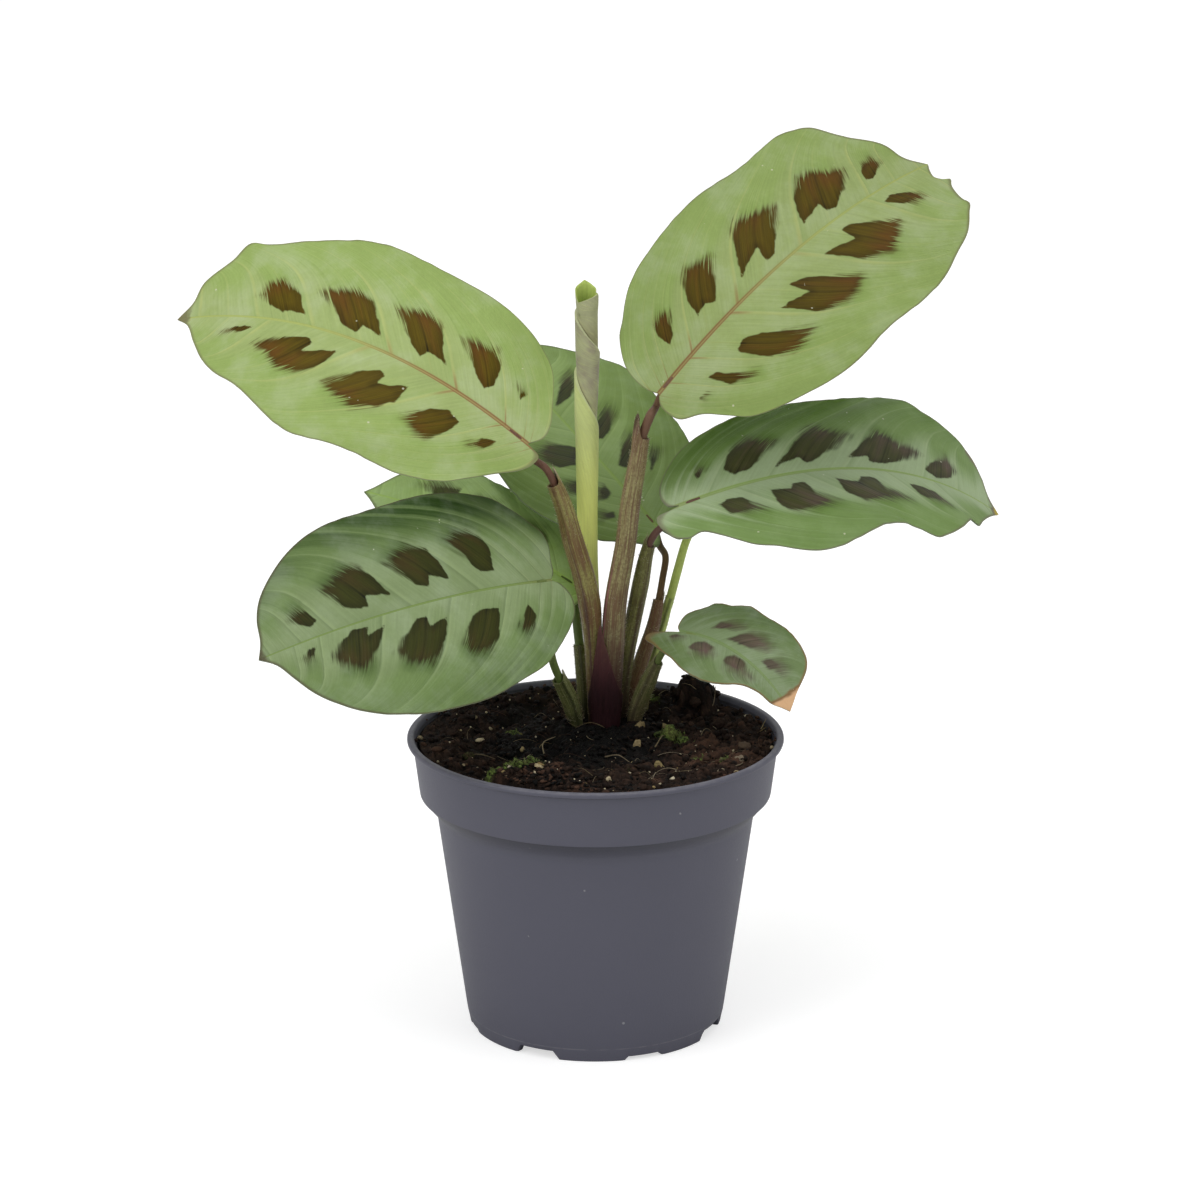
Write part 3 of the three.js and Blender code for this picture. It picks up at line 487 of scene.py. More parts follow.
# The wall is a profile of (radius, height) turned about Z; the foot ring's underside is lifted where
# its gaps are. The floor is a ring of six panels, each spread evenly from a drain hole to its outline.
def makePot():
    v = potValues
    angles = np.linspace(0, tau, v["segments"] + 1)
    under, floorTop, wall = v["footHeight"] + 0.2, v["floorTop"], v["wall"]
    inner = v["footRadius"] - v["footThickness"]
    panelOut = inner - 0.6
    outside = [(v["footTop"] + 0.05, v["footHeight"]), (v["footTop"] + 0.2, v["footHeight"] + 0.9),
               (v["shoulder"], v["shoulderZ"]), (25.85, 36.3), (26.55, 37.1), (27.15, 37.8), (27.6, 38.4),
               (27.7, v["collarZ"] - 0.08), (v["collarLow"] - 0.05, v["collarZ"] - 0.04),
               (v["collarLow"], v["collarZ"] + 0.15), (v["collarTop"], 46.98)]
    lip = [(29.3, 47.05), (29.8, 47.1), (v["lipRadius"], 47.28), (v["lipRadius"], 47.68),
           (v["lipRadius"] - 0.18, 47.93), (v["lipRadius"] - 0.5, v["height"]), (v["lipInner"] + 0.2, 47.97),
           (v["lipInner"], 47.7)]
    inside = [(28.35, 46.6), (27.3, 38.7), (26.4, 37.7), (25.6, 36.7), (24.65, 35.3),
              (v["footTop"] - wall + 0.1, floorTop)]
    foot = [(panelOut, under), (inner, under), (inner, 0), (v["footRadius"] - 0.15, 0),
            (v["footRadius"], 0.25), (v["footRadius"], v["footHeight"] - 0.05)]
    profile = np.vstack([roundCorners(foot, 0.18, 3)[:-1], roundCorners(outside + lip + inside, 0.5, 5),
                         [(panelOut, floorTop)]])
    within = [np.repeat(np.arange(len(profile)) > np.argmax(profile[:, 1]) + 3, len(angles)).astype(float)]
    r, z = np.repeat(profile[:, :1], len(angles), 1), np.repeat(profile[:, 1:], len(angles), 1)
    lifted, footTop = np.zeros_like(angles), v["footHeight"] - 0.1
    for middle, width, high in v["gaps"]:
        away = np.abs((np.degrees(angles) + 90 - middle + 180) % 360 - 180)
        lifted = np.maximum(lifted, high / footTop * ease(width / 2 - away, -0.8, 0.8))
    onFoot = (z < footTop) & (r < v["footRadius"] + 0.01)
    z = np.where(onFoot, z + lifted[None, :] * (footTop - z), z)
    points = [np.stack([r * np.cos(angles), r * np.sin(angles), z], -1).reshape(-1, 3)]
    quads = [gridQuads(len(profile), len(angles))]
    count = len(points[0])

    padProfile = roundCorners([(0, 0), (v["padRadius"] - 0.1, 0), (v["padRadius"], 0.2),
                               (v["padRadius"], under)], 0.15, 3)
    for low in (padProfile, np.array([(0.0, floorTop), (v["padRadius"], floorTop)])[::-1]):
        pr, pz = np.repeat(low[:, :1], len(angles), 1), np.repeat(low[:, 1:], len(angles), 1)
        points.append(np.stack([pr * np.cos(angles), pr * np.sin(angles), pz], -1).reshape(-1, 3))
        quads.append(gridQuads(len(low), len(angles), count))
        within.append(np.full(len(points[-1]), float(low[0, 1] > 1)))
        count += len(points[-1])

    share = v["segments"] // v["drainCount"]
    sweep = np.linspace(-math.pi / v["drainCount"], math.pi / v["drainCount"], share + 1)
    side = np.linspace(v["padRadius"], panelOut, 9)
    outlineR = np.concatenate([np.full(share, panelOut), side[::-1][:-1], np.full(share, v["padRadius"]),
                               side])
    outlineA = np.concatenate([sweep[:-1], np.full(8, sweep[-1]), sweep[::-1][:-1], np.full(9, sweep[0])])
    outline = np.stack([outlineR * np.cos(outlineA), outlineR * np.sin(outlineA)], -1)
    centre = np.array([v["drainCircle"], 0])
    hole = centre + v["drainRadius"] * unit(outline - centre)
    for k in range(v["drainCount"]):
        turn = (k + 0.5) * tau / v["drainCount"]
        spin = np.array([[math.cos(turn), math.sin(turn)], [-math.sin(turn), math.cos(turn)]])
        rows = [(1, under), (0.5, under), (0.15, under), (0, under + 0.08), (0, floorTop - 0.08),
                (0.15, floorTop), (1, floorTop)]
        flat = np.stack([hole + (outline - hole) * away for away, _ in rows])
        height = np.array([h for _, h in rows])[:, None, None] * np.ones((1, len(outline), 1))
        points.append(np.concatenate([flat @ spin, height], -1).reshape(-1, 3))
        quads.append(gridQuads(len(rows), len(outline), count)[:, ::-1])
        within.append((points[-1][:, 2] > floorTop - 0.1).astype(float))
        count += len(points[-1])

    material, tree, shader = makeMaterial("potPlastic", IOR=1.47, Specular_IOR_Level=0.35)
    skin = useGroup(tree, mottleGroup,
                    {"Color": tone(*v["plastic"]), "Patch Size": 70.0, "Patch Amount": 0.02,
                     "Speck Color": tone(140, 140, 144), "Speck Size": 700.0, "Speck Share": 0.012})
    place = objectPlace(tree)
    zed = splitVector(place)[2]
    # fine rings left by the mould, a scuffed lip and mould line with a painted highlight, and an inside
    # darkened by soil stains and painted shade
    ring = noiseValue(joinVector(0.0, 0.0, zed * 2600.0), 1.0, 2.0)
    pits = noiseValue(place, 3800.0, 2.0, 0.6)
    scuffs = noiseValue(place, 420.0, 5.0, 0.7)
    # the lip's top and the mould line are mixed towards a lighter plastic: partly scuffed wear, partly a
    # painted highlight along them
    atLip = remap(zed, 0.0475, 0.0479)
    wearAndHighlight = atLip * remap(scuffs, 0.4, 0.65, 0.2, 0.55)
    atMouldLine = remap(abs(zed - 0.0022), 0.00004, 0.00014, 0.6, 0.0)
    wearAndHighlight = calc("MAXIMUM", wearAndHighlight, atMouldLine * remap(scuffs, 0.35, 0.6))
    colour = mixColour(wearAndHighlight, skin["Color"], tone(*v["scuffedAndHighlitPlastic"]))
    isWithin = surfaceValue(tree, "potWithin", "Fac")
    # the inside wall goes dark brown towards the soil: soil stains and painted shade under the rim
    soiledAndShaded = isWithin * remap(zed, 0.0455, 0.0476, 1.0, 0.0)
    soiledAndShaded = soiledAndShaded * remap(scuffs, 0.35, 0.6, 0.45, 0.95)
    colour = mixColour(soiledAndShaded, colour, tone(34, 27, 24))
    # painted shadow darkens the hollow under the collar and a thin line under the lip
    below = calc("LESS_THAN", zed, v["collarZ"] * millimetre)
    nearCollar = remap(zed, 0.0335, 0.0384) ** 1.7
    paintedShadow = below * (nearCollar * (1 - v["underCollar"]))
    underLipShadow = remap(abs(zed - 0.04702), 0.00006, 0.0003, 0.55, 0.0)
    paintedShadow = calc("MAXIMUM", paintedShadow, underLipShadow)
    colour = scaleColour(colour, 1.0 - paintedShadow)
    fill(shader, Base_Color=colour, Roughness=pits * 0.16 + 0.4)
    height = pits * 0.5 + ring * 0.25
    linkBump(shader, height + skin["Specks"], 0.00005, 0.8)
    makeMesh("nurseryPot", np.vstack(points), np.vstack(quads), material,
             {"potWithin": np.concatenate(within)}, ["pot"])


makePot()
print("pot: done")


soilValues = {
    "level": 45.6, "mound": 1.1, "moundAt": (1, 9), "moundWidth": 14, "rise": 1.3, "edge": 28.05,
    "rings": 180, "segments": 420,
    # its wall inside the pot, below the surface: radius, height; and its gap to the pot's floor
    "wall": [(27.9, 45.5), (27, 38.9), (25.9, 37.9), (24.3, 35.4)], "gap": 0.3,
    # lumps that stand out: x, y, radius, height, steepness
    "lumps": [(16.4, 18.4, 4.3, 4.0, 5), (12.2, 12, 2.6, 1.2, 2), (-19, 10, 5, 1.0, 2),
              (17, -4, 3.5, 0.9, 2), (3, -15, 3.5, 0.7, 2)],
    # hollows and rises of the fine surface
    "dips": [(-8, 1, 5, -1.5, 2), (-5.5, -5.5, 4, -1.3, 2), (4, 1, 3.5, -1.0, 2), (9, -4, 3, -0.8, 2),
             (16, 5, 3.5, 0.5, 2), (-22, -3, 4, 0.6, 2), (-14, 12, 4, -0.9, 2), (22, 9, 4, -0.9, 2),
             (11.7, 4.5, 2.2, 0.9, 3), (8, -18, 3.5, -0.6, 2)],
    # a raised slab of matted peat in front: x, y and height along its crest, steep behind and sloping to
    # the rim
    "slab": {"crest": [(-18, -20.9, 0), (-16.3, -20.6, 1.5), (-12.5, -19.6, 2.8), (-8.5, -18.7, 3.8),
                       (-6.3, -18.8, 3.7), (-3.4, -20.3, 2.5), (-0.6, -22.6, 1.0), (1.5, -24, 0)],
             "back": 0.9, "front": 8.0},
    # darker (below 0) and dustier (above 0) places: x, y, radius, amount; the darker hollows round the stalks
    # are painted shade
    "shades": [(-7, -1, 12, -0.9), (3, -3, 9, -0.7), (-12, 12, 8, -0.4), (4, 6, 10, -0.6),
               (21, -6, 10, 0.85), (16, 4, 5, 0.45), (16.4, 18.4, 6, -0.35), (-22, -6, 6, 0.15),
               (-24, 6, 5, 0.1), (5, -19, 7, 0.15)],
    # x, y, radius
    "mossSpots": [(12, 4.6, 2.5), (13.8, 2.6, 1.5), (16, -7.2, 1.2), (-13.4, 5.9, 1.4), (20, -9, 1.3),
                  (9, 21, 1.6)],
    "fibreScale": (900.0, 4200.0, 900.0),
    "grainSizes": [(2.3, 0.75), (1.0, 0.5), (0.5, 0.26)],  # size, height
    "dark": (19, 13, 10), "brown": (44, 33, 27), "red": (74, 54, 43), "moss": (118, 138, 70),
    "darkMoss": (52, 66, 30), "wetAndShade": (6, 5, 4),
}


# Height of the slab's crest at x, and millimetres in front of that crest.
def slabPlace(x, y):
    crest = np.array(soilValues["slab"]["crest"], float)
    return np.interp(x, crest[:, 0], crest[:, 2]), np.interp(x, crest[:, 0], crest[:, 1]) - y


# The slab's height: it goes up steeply behind the crest and falls evenly to nothing in front of it.
def slabRise(x, y):
    height, out = slabPlace(x + 0.6 * softNoise(x * 0.9, y * 0.9, 61),
                            y + 0.5 * softNoise(x * 0.9, y * 0.9, 62))
    return (height * ease(out, -soilValues["slab"]["back"], 0.1)
            * (1 - np.clip(out / soilValues["slab"]["front"], 0, 1)))


# Height of the soil: a low mound, a rise to the rim, soft waves, the lumps and hollows, then three
# sizes of grains. Gives the height and a tone for each point, from the grains, shades and slab.
def soilHeight(x, y, fine=True):
    v = soilValues
    r = np.hypot(x, y)
    z = (v["level"] + v["mound"] * np.exp(-((x - v["moundAt"][0]) ** 2 + (y - v["moundAt"][1]) ** 2)
                                          / v["moundWidth"] ** 2))
    z = z + v["rise"] * ease(r, 15, 27.5)
    z = z + 0.3 * np.sin(0.42 * x + 1) * np.cos(0.37 * y) + 0.18 * np.sin(0.9 * x - 0.7 * y)
    roughX, roughY = x + 0.7 * softNoise(x * 0.8, y * 0.8, 63), y + 0.7 * softNoise(x * 0.8, y * 0.8, 64)
    for lumpX, lumpY, radius, height, steep in v["lumps"] + (v["dips"] if fine else []):
        d = np.clip(np.hypot(roughX - lumpX, roughY - lumpY) / radius, 0, 1)
        z = z + height * (1 - d ** steep) ** 1.5
    slab = slabRise(x, y)
    z = z + slab
    shade = np.zeros_like(z)
    if fine:
        z = z + 0.35 * softNoise(x * 0.3, y * 0.3, 3) + 0.5 * np.abs(softNoise(x * 0.55, y * 0.55, 51)) - 0.2
        for k, (size, height) in enumerate(v["grainSizes"]):
            warpX = x + 0.35 * size * softNoise(x / size, y / size, 20 + k)
            warpY = y + 0.35 * size * softNoise(x / size, y / size, 30 + k)
            high, number = grains(warpX / size, warpY / size, 11 + k)
            z = z + height * (high * (0.35 + number) - 0.6)
            # besides a random tone per grain, each grain is lighter in its middle and darker between grains:
            # painted shade in the gaps
            shade = shade + (number - 0.5) * (0.5, 0.4, 0.35)[k] + 0.25 * (high - 0.6) * (0.5, 0.8, 0.5)[k]
        for shadeX, shadeY, radius, amount in v["shades"]:
            shade = shade + amount * (1 - np.clip(np.hypot(x - shadeX, y - shadeY) / radius, 0, 1) ** 2)
        shade = shade + 0.1 * ease(slab, 0.2, 1.5)
    return np.minimum(z, 46.95 + 9 * ease(r, 27.2, 26.2)), shade


# How mossy a place is: full in the moss spots and in a strip along the slab's crest, with a soft ragged edge.
def mossAmount(x, y):
    near = np.zeros_like(x)
    for mossX, mossY, radius in soilValues["mossSpots"]:
        near = np.maximum(near, 1 - np.hypot(x - mossX, y - mossY) / radius)
    out = slabPlace(x, y)[1]
    near = np.maximum(near, (1 - np.abs(out - 0.3) / 1.2) * ease(x, -17.5, -16.5) * (1 - ease(x, -11, -7)))
    return ease(near * (1 + 0.7 * softNoise(x * 1.3, y * 1.3, 44)), 0.05, 0.45)


# Shared look of the potting mix: tone picks between peat colours, moss turns it green.
def makeSoilPattern():
    v = soilValues
    tree, given, result = makeGroup("pottingMix", {"Tone": 0.0, "Moss": 0.0}, surfaceOutputs)
    place = objectPlace(tree)
    coarse = noiseValue(place, 330.0, 4.0, 0.65)
    fine = noiseValue(place, 2100.0, 3.0, 0.7)
    mixed = given["Tone"] * 0.9 + coarse * 0.9 + fine * 0.5
    colour = mixColour(remap(mixed, 0.55, 1.1), tone(*v["dark"]), tone(*v["brown"]))
    colour = mixColour(remap(mixed, 1.0, 1.6), colour, tone(*v["red"]))
    # the darkest tones, mostly in the shaded hollows, go near black: wet peat and painted shade
    colour = mixColour(remap(mixed, 0.6, 0.2), colour, tone(*v["wetAndShade"]))
    stretched = pick("ShaderNodeVectorMath", 0, {0: place, 1: v["fibreScale"]}, operation="MULTIPLY")
    fibres = noiseValue(stretched, 1.0, 2.0)
    colour = mixColour(remap(fibres, 0.66, 0.72) * 0.45, colour, tone(96, 72, 52))
    green = mixColour(remap(fine, 0.35, 0.7), tone(*v["darkMoss"]), tone(*v["moss"]))
    colour = mixColour(given["Moss"] * remap(fine, 0.3, 0.55, 0.35, 0.95), colour, green)
    fill(result, Color=colour, Roughness=remap(mixed, 0.4, 0.9, 0.62, 0.95), Height=coarse * 0.6 + fine)
    return tree


soilPattern = makeSoilPattern()


# A material of the potting mix, which reads its tone, moss and pale share from the mesh.
def soilMaterial(name):
    material, tree, shader = makeMaterial(name, Specular_IOR_Level=0.12)
    marks = splitVector(surfaceValue(tree, "soilMarks"))
    mix = useGroup(tree, soilPattern, {"Tone": marks[0], "Moss": marks[1]})
    # pale crumbs of perlite, straw and wood carry their own share of a pale colour
    pale = mixColour(marks[0], tone(148, 128, 84), tone(196, 186, 160))
    colour = mixColour(marks[2], mix["Color"], pale)
    fill(shader, Base_Color=colour, Roughness=mix["Roughness"])
    linkBump(shader, mix["Height"], 0.00035, 0.9)
    return material


# A disc of rings, each point lifted to the soil's height, closed by a plain wall and floor.
def makeSoil(material):
    v = soilValues
    angles = np.linspace(0, tau, v["segments"] + 1)
    radii = np.linspace(0, v["edge"], v["rings"])[:, None]
    x, y = radii * np.cos(angles), radii * np.sin(angles)
    z, shade = soilHeight(x, y)
    moss = mossAmount(x, y)
    bottom = potValues["floorTop"] + v["gap"]
    wall = v["wall"] + [(potValues["footTop"] - potValues["wall"] - v["gap"], bottom), (0, bottom)]
    r = np.array([w[0] for w in wall])[:, None]
    low = np.array([w[1] for w in wall])[:, None] * np.ones_like(angles)
    x, y, z = np.vstack([x, r * np.cos(angles)]), np.vstack([y, r * np.sin(angles)]), np.vstack([z, low])
    marks = np.zeros((*z.shape, 3))
    marks[:len(shade), :, 0], marks[:len(moss), :, 1] = shade, moss
    points = np.stack([x, y, z], -1).reshape(-1, 3)
    return makeMesh("pottingSoil", points, gridQuads(len(x), len(angles)), material, {"soilMarks": marks},
                    ["soil"])


# Chipped lumps: every direction from the middle reaches to the nearest of a few random planes,
# then the size, flatness, turn and place of each lump are applied. One grid for each lump.
def lumpPoints(centres, sizes, rng, rows=5, columns=8, planes=9, rough=0.0):
    count = len(centres)
    polar, turn = np.linspace(0, math.pi, rows)[:, None], np.linspace(0, tau, columns + 1)[None, :]
    ways = np.stack([np.sin(polar) * np.cos(turn), np.sin(polar) * np.sin(turn),
                     np.cos(polar) * np.ones_like(turn)], -1)
    normals = unit(rng.normal(size=(count, planes, 3)))
    reach = rng.uniform(0.55, 1.0, (count, planes))
    facing = np.einsum("rck,npk->nrcp", ways, normals)
    radius = np.min(np.where(facing > 0.15, reach[:, None, None] / np.maximum(facing, 0.15), 1.25), -1)
    radius = np.minimum(radius, 1.25)
    if rough:
        bumps = softNoise(ways[..., 0] * 5 + 9, ways[..., 1] * 5 + ways[..., 2] * 7, 71)
        radius = radius * (1 + rough * bumps[None])
    body = ways[None] * radius[..., None] * np.asarray(sizes)[:, None, None]
    a, b = rng.uniform(0, tau, (2, count))
    tilt = rng.uniform(-0.5, 0.5, count)
    ca, sa, cb, sb = np.cos(a), np.sin(a), np.cos(tilt), np.sin(tilt)
    x = body[..., 0] * ca[:, None, None] - body[..., 1] * sa[:, None, None]
    y = body[..., 0] * sa[:, None, None] + body[..., 1] * ca[:, None, None]
    z = body[..., 2]
    x, z = x * cb[:, None, None] + z * sb[:, None, None], z * cb[:, None, None] - x * sb[:, None, None]
    points = np.stack([x, y, z], -1) + np.asarray(centres)[:, None, None]
    quads = np.concatenate([gridQuads(rows, columns + 1, k * rows * (columns + 1)) for k in range(count)])
    return points.reshape(-1, 3), quads, rows * (columns + 1)


# Points on the soil's surface, or a lift above it.
def onSoil(x, y, lift=0.0):
    return np.stack([x, y, soilHeight(np.asarray(x, float), np.asarray(y, float))[0] + lift], -1)


# One piece of many small bodies, each with a row of marks: tone, moss, pale share.
def makeScatter(name, bodies, marks, material):
    points, quads, each = bodies
    makeMesh(name, points, quads, material, {"soilMarks": np.repeat(marks, each, 0)})


crumbValues = {
    "count": 2100, "reach": 27.4, "smallest": 0.13, "largest": 0.72, "paleShare": 0.022,
    "specks": 90, "onLip": 110, "onSlab": 420, "slabReach": 26.6,
}


# Crumbs scattered evenly over the disc, small ones most often.
def makeCrumbs(material):
    v = crumbValues
    count, onLip, onSlab, specks = v["count"], v["onLip"], v["onSlab"], v["specks"]
    rng = np.random.default_rng(21)
    r, a = v["reach"] * np.sqrt(rng.uniform(0, 1, count)), rng.uniform(0, tau, count)
    size = v["smallest"] + (v["largest"] - v["smallest"]) * rng.uniform(0, 1, count) ** 2.6
    x, y = r * np.cos(a), r * np.sin(a)
    flat = rng.uniform(0.45, 0.9, count)
    sizes = np.stack([size * rng.uniform(0.7, 1.3, count), size, size * flat], -1)
    bodies = lumpPoints(onSoil(x, y, 0.25 * size), sizes, rng)
    # each crumb takes the soil's tone where it lies, the painted shade of the hollows included
    shade = rng.normal(-0.1, 0.3, count) + 0.75 * soilHeight(x, y)[1]
    isPale = rng.uniform(0, 1, count) < v["paleShare"]
    marks = np.stack([np.where(isPale, rng.uniform(0, 1, count), shade), mossAmount(x, y) * 0.8,
                      isPale * 0.9], -1)
    makeScatter("peatCrumbs", bodies, marks, material)
    # dry crumbs caught inside the lip, most of them at the right
    a = np.radians(np.concatenate([rng.uniform(-62, 24, onLip * 2 // 3),
                                   rng.uniform(24, 298, onLip - onLip * 2 // 3)]))
    r, size = rng.uniform(27.2, 28.75, onLip), 0.1 + 0.38 * rng.uniform(0, 1, onLip) ** 2
    centres = np.stack([r * np.cos(a), r * np.sin(a), 46.95 + 0.45 * (r - 27.4) + 0.2 * size], -1)
    bodies = lumpPoints(centres, size[:, None] * rng.uniform(0.7, 1.3, (onLip, 3)), rng)
    marks = np.stack([rng.uniform(0.3, 1.2, onLip), 0 * r, (rng.uniform(0, 1, onLip) < 0.08) * 0.7], -1)
    makeScatter("lipCrumbs", bodies, marks, material)
    # short chips matted together on the slab in front
    chips = np.random.default_rng(34)
    x, out = chips.uniform(-16.5, 0.5, onSlab), chips.uniform(0.1, 7.5, onSlab)
    y, size = slabPlace(x, 0 * x)[1] - out, chips.uniform(0.12, 0.42, onSlab)
    y = np.maximum(y, -np.sqrt(v["slabReach"] ** 2 - x ** 2))  # none beyond the wall
    sizes = size[:, None] * np.stack([chips.uniform(1, 2.2, onSlab), 1 + 0 * x, 0.7 + 0 * x], -1)
    bodies = lumpPoints(onSoil(x, y, 0.3 * size), sizes, chips)
    marks = np.stack([chips.uniform(-0.9, 1.15, onSlab), mossAmount(x, y),
                      (chips.uniform(0, 1, onSlab) < 0.02) * 0.8], -1)
    makeScatter("slabChips", bodies, marks, material)
    # white specks of salt and perlite
    r, a = v["reach"] * np.sqrt(rng.uniform(0, 1, specks)), rng.uniform(0, tau, specks)
    size = rng.uniform(0.07, 0.22, specks)
    x, y = r * np.cos(a), r * np.sin(a)
    bodies = lumpPoints(onSoil(x, y, 0.15), size[:, None] * np.ones((1, 3)), rng, 4, 6)
    marks = np.stack([rng.uniform(0.5, 1, specks), 0 * size, 0 * size + 1], -1)
    makeScatter("perliteSpecks", bodies, marks, material)


# Larger bits, each in its place: x, y, size along, across and up, tone, moss, pale share.
soilBits = [
    # foot of the clod
    (13.4, 16.4, 1.3, 1.1, 0.9, 0.1, 0, 0), (19.4, 16.8, 1.1, 1, 0.9, 0.2, 0, 0),
    (16, 15, 1, 1.2, 0.8, 0.3, 0, 0),
    # chips of bark in front
    (-8.6, -21.4, 0.8, 0.5, 0.4, 1.1, 0, 0), (-5.4, -21, 0.7, 0.6, 0.4, 0.9, 0, 0.05),
    (-10.8, -21.6, 0.6, 0.8, 0.4, 0.8, 0, 0), (-3.6, -22.3, 0.7, 0.5, 0.4, 1.0, 0, 0.1),
    (-7, -23.2, 0.6, 0.7, 0.4, 0.9, 0, 0),
    # moss, pale grains, wood and larger crumbs
    (12.1, 4.2, 1.9, 1.3, 1.1, 0, 1, 0.12), (14.2, 3, 1, 0.8, 0.7, 0, 1, 0),
    (16, -7.2, 0.8, 0.6, 0.5, 0, 1, 0.1), (-13.4, 5.9, 0.9, 0.7, 0.6, 0, 1, 0.1),
    (-12.1, 5.6, 0.5, 0.4, 0.4, 0, 0.8, 0.3), (7.1, 6, 0.75, 0.7, 1.1, 0.15, 0, 0.75),
    (6.8, -1.1, 0.85, 0.75, 0.9, 0.2, 0, 0.75), (1.7, -1.4, 0.9, 0.5, 0.5, 0.5, 0.3, 0.6),
    (2.1, -18.5, 0.8, 0.5, 0.5, 0.55, 0, 0.95), (10, -10, 1.1, 0.9, 0.8, 0.1, 0.4, 0.7),
    (6.4, -8, 0.8, 0.45, 0.4, 0.2, 0.2, 0.7), (12.1, -17.3, 0.6, 0.45, 0.4, 1, 0, 1),
    (10, -21.2, 0.5, 0.4, 0.4, 0.7, 0, 0.9), (-3.2, -21.4, 0.55, 0.35, 0.35, 0.8, 0, 0.7),
    (22.6, -10.3, 1.2, 0.9, 0.8, 0.95, 0, 0.25), (19.5, -15.7, 0.7, 0.6, 0.6, 0.8, 0, 0.35),
    (-17, 7.5, 0.45, 0.35, 0.4, 0.5, 0, 0.8), (-19.4, 9, 0.4, 0.5, 0.35, 0.4, 0, 0.8),
    (13.9, 10.5, 0.5, 0.45, 0.4, 0.3, 0.2, 0.7), (10.9, 8.3, 0.7, 0.5, 0.6, 0.2, 0.4, 0.6),
    (-20, -8, 1.2, 0.9, 0.9, 0.5, 0.2, 0), (-23, 4, 1.5, 1.1, 1, 0.3, 0, 0), (20, 9, 1.4, 1, 1, 0.4, 0, 0),
    (-12, 19, 1.6, 1.3, 1.1, 0.3, 0, 0), (2, 23, 1.5, 1.1, 1, 0.4, 0, 0), (-3, -9, 1, 0.8, 0.7, 0.5, 0, 0),
    (5, -13, 1.1, 0.9, 0.8, 0.4, 0.1, 0), (24, -2, 1.1, 0.8, 0.8, 0.8, 0, 0.1),
]


# The larger bits: finely chipped lumps, roughened by noise and sunk a little into the soil.
def makeBits(material):
    rng = np.random.default_rng(5)
    bits = np.array(soilBits, float)
    centres = onSoil(bits[:, 0], bits[:, 1])
    centres[:, 2] = soilHeight(bits[:, 0], bits[:, 1], False)[0] + 0.15 * bits[:, 4]
    points, quads, each = lumpPoints(centres, bits[:, 2:5], rng, 26, 36, 14, 0.1)
    fine = 0.12 * softNoise(points[:, 0] * 2.6, points[:, 1] * 2.6 + points[:, 2] * 3, 8)
    fine = fine + 0.08 * softNoise(points[:, 0] * 6, points[:, 2] * 6 + points[:, 1] * 5, 9)
    middle = np.repeat(centres, each, 0)
    points = (points + unit(points - middle + 1e-6)
              * (fine * np.minimum(1, np.repeat(bits[:, 2], each) / 2))[:, None])
    makeScatter("soilBits", (points, quads, each), bits[:, 5:8], material)


# Rings of points round each of many paths: the radius swings round two directions square to the path.
# paths is (count, stations, 3); radii is (count, stations). The ends are closed by rings of no radius.
def tubePoints(paths, radii, sides):
    along = unit(np.gradient(paths, axis=1))
    helper = np.where(np.abs(along[..., 2:3]) > 0.9, [1.0, 0, 0], [0, 0, 1.0])
    across = unit(np.cross(along, helper))
    other = np.cross(along, across)
    turn = np.linspace(0, tau, sides + 1)[:, None]
    ring = across[:, :, None] * np.cos(turn) + other[:, :, None] * np.sin(turn)
    points = paths[:, :, None] + ring * radii[:, :, None, None]
    closed = np.concatenate([np.repeat(paths[:, :1, None], sides + 1, 2), points,
                             np.repeat(paths[:, -1:, None], sides + 1, 2)], 1)
    rows = closed.shape[1]
    quads = np.concatenate([gridQuads(rows, sides + 1, k * rows * (sides + 1)) for k in range(len(closed))])
    return closed.reshape(-1, 3), quads, rows * (sides + 1)


fibreValues = {
    "count": 95, "shortest": 1.5, "longest": 6.5, "thickness": 0.052, "reach": 25, "inside": 26.5,
    "strawThickness": 0.13,
    # straw by the right rim and a few longer fibres that show in front: three points, then tone, moss and
    # pale share
    "straws": [
        ((24.8, 1.5, 46.4), (26.4, 4.5, 47.2), (27.4, 7.6, 48), (0.2, 0, 0.55)),
        ((24, 2.6, 46.2), (25.8, 3.4, 46.9), (27.3, 4.8, 47.5), (0, 0, 0.4)),
        ((-8.1, -5.1, 45.9), (-8.3, -1.6, 47), (-6.4, 0.6, 47.3), (0.5, 0, 0.5)),
        ((9.5, -1.6, 46.3), (10.6, 1.4, 47.1), (11, 3.2, 46.6), (0.3, 0, 0.4)),
        ((17.4, 15.4, 46.8), (18.9, 14.6, 47.9), (19.5, 17, 50.5), (0.6, 0, 0.3)),
        ((1.5, -6, 46.1), (3.6, -7, 46.7), (5.4, -8.4, 46), (0.5, 0, 0.35)),
        ((-21, -6, 46.3), (-18, -7.6, 47), (-15.8, -7.4, 46.2), (0.4, 0, 0.3)),
        ((20, -12, 46), (22.6, -12.6, 47), (23.4, -9.8, 46.6), (0.8, 0, 0.3))],
}


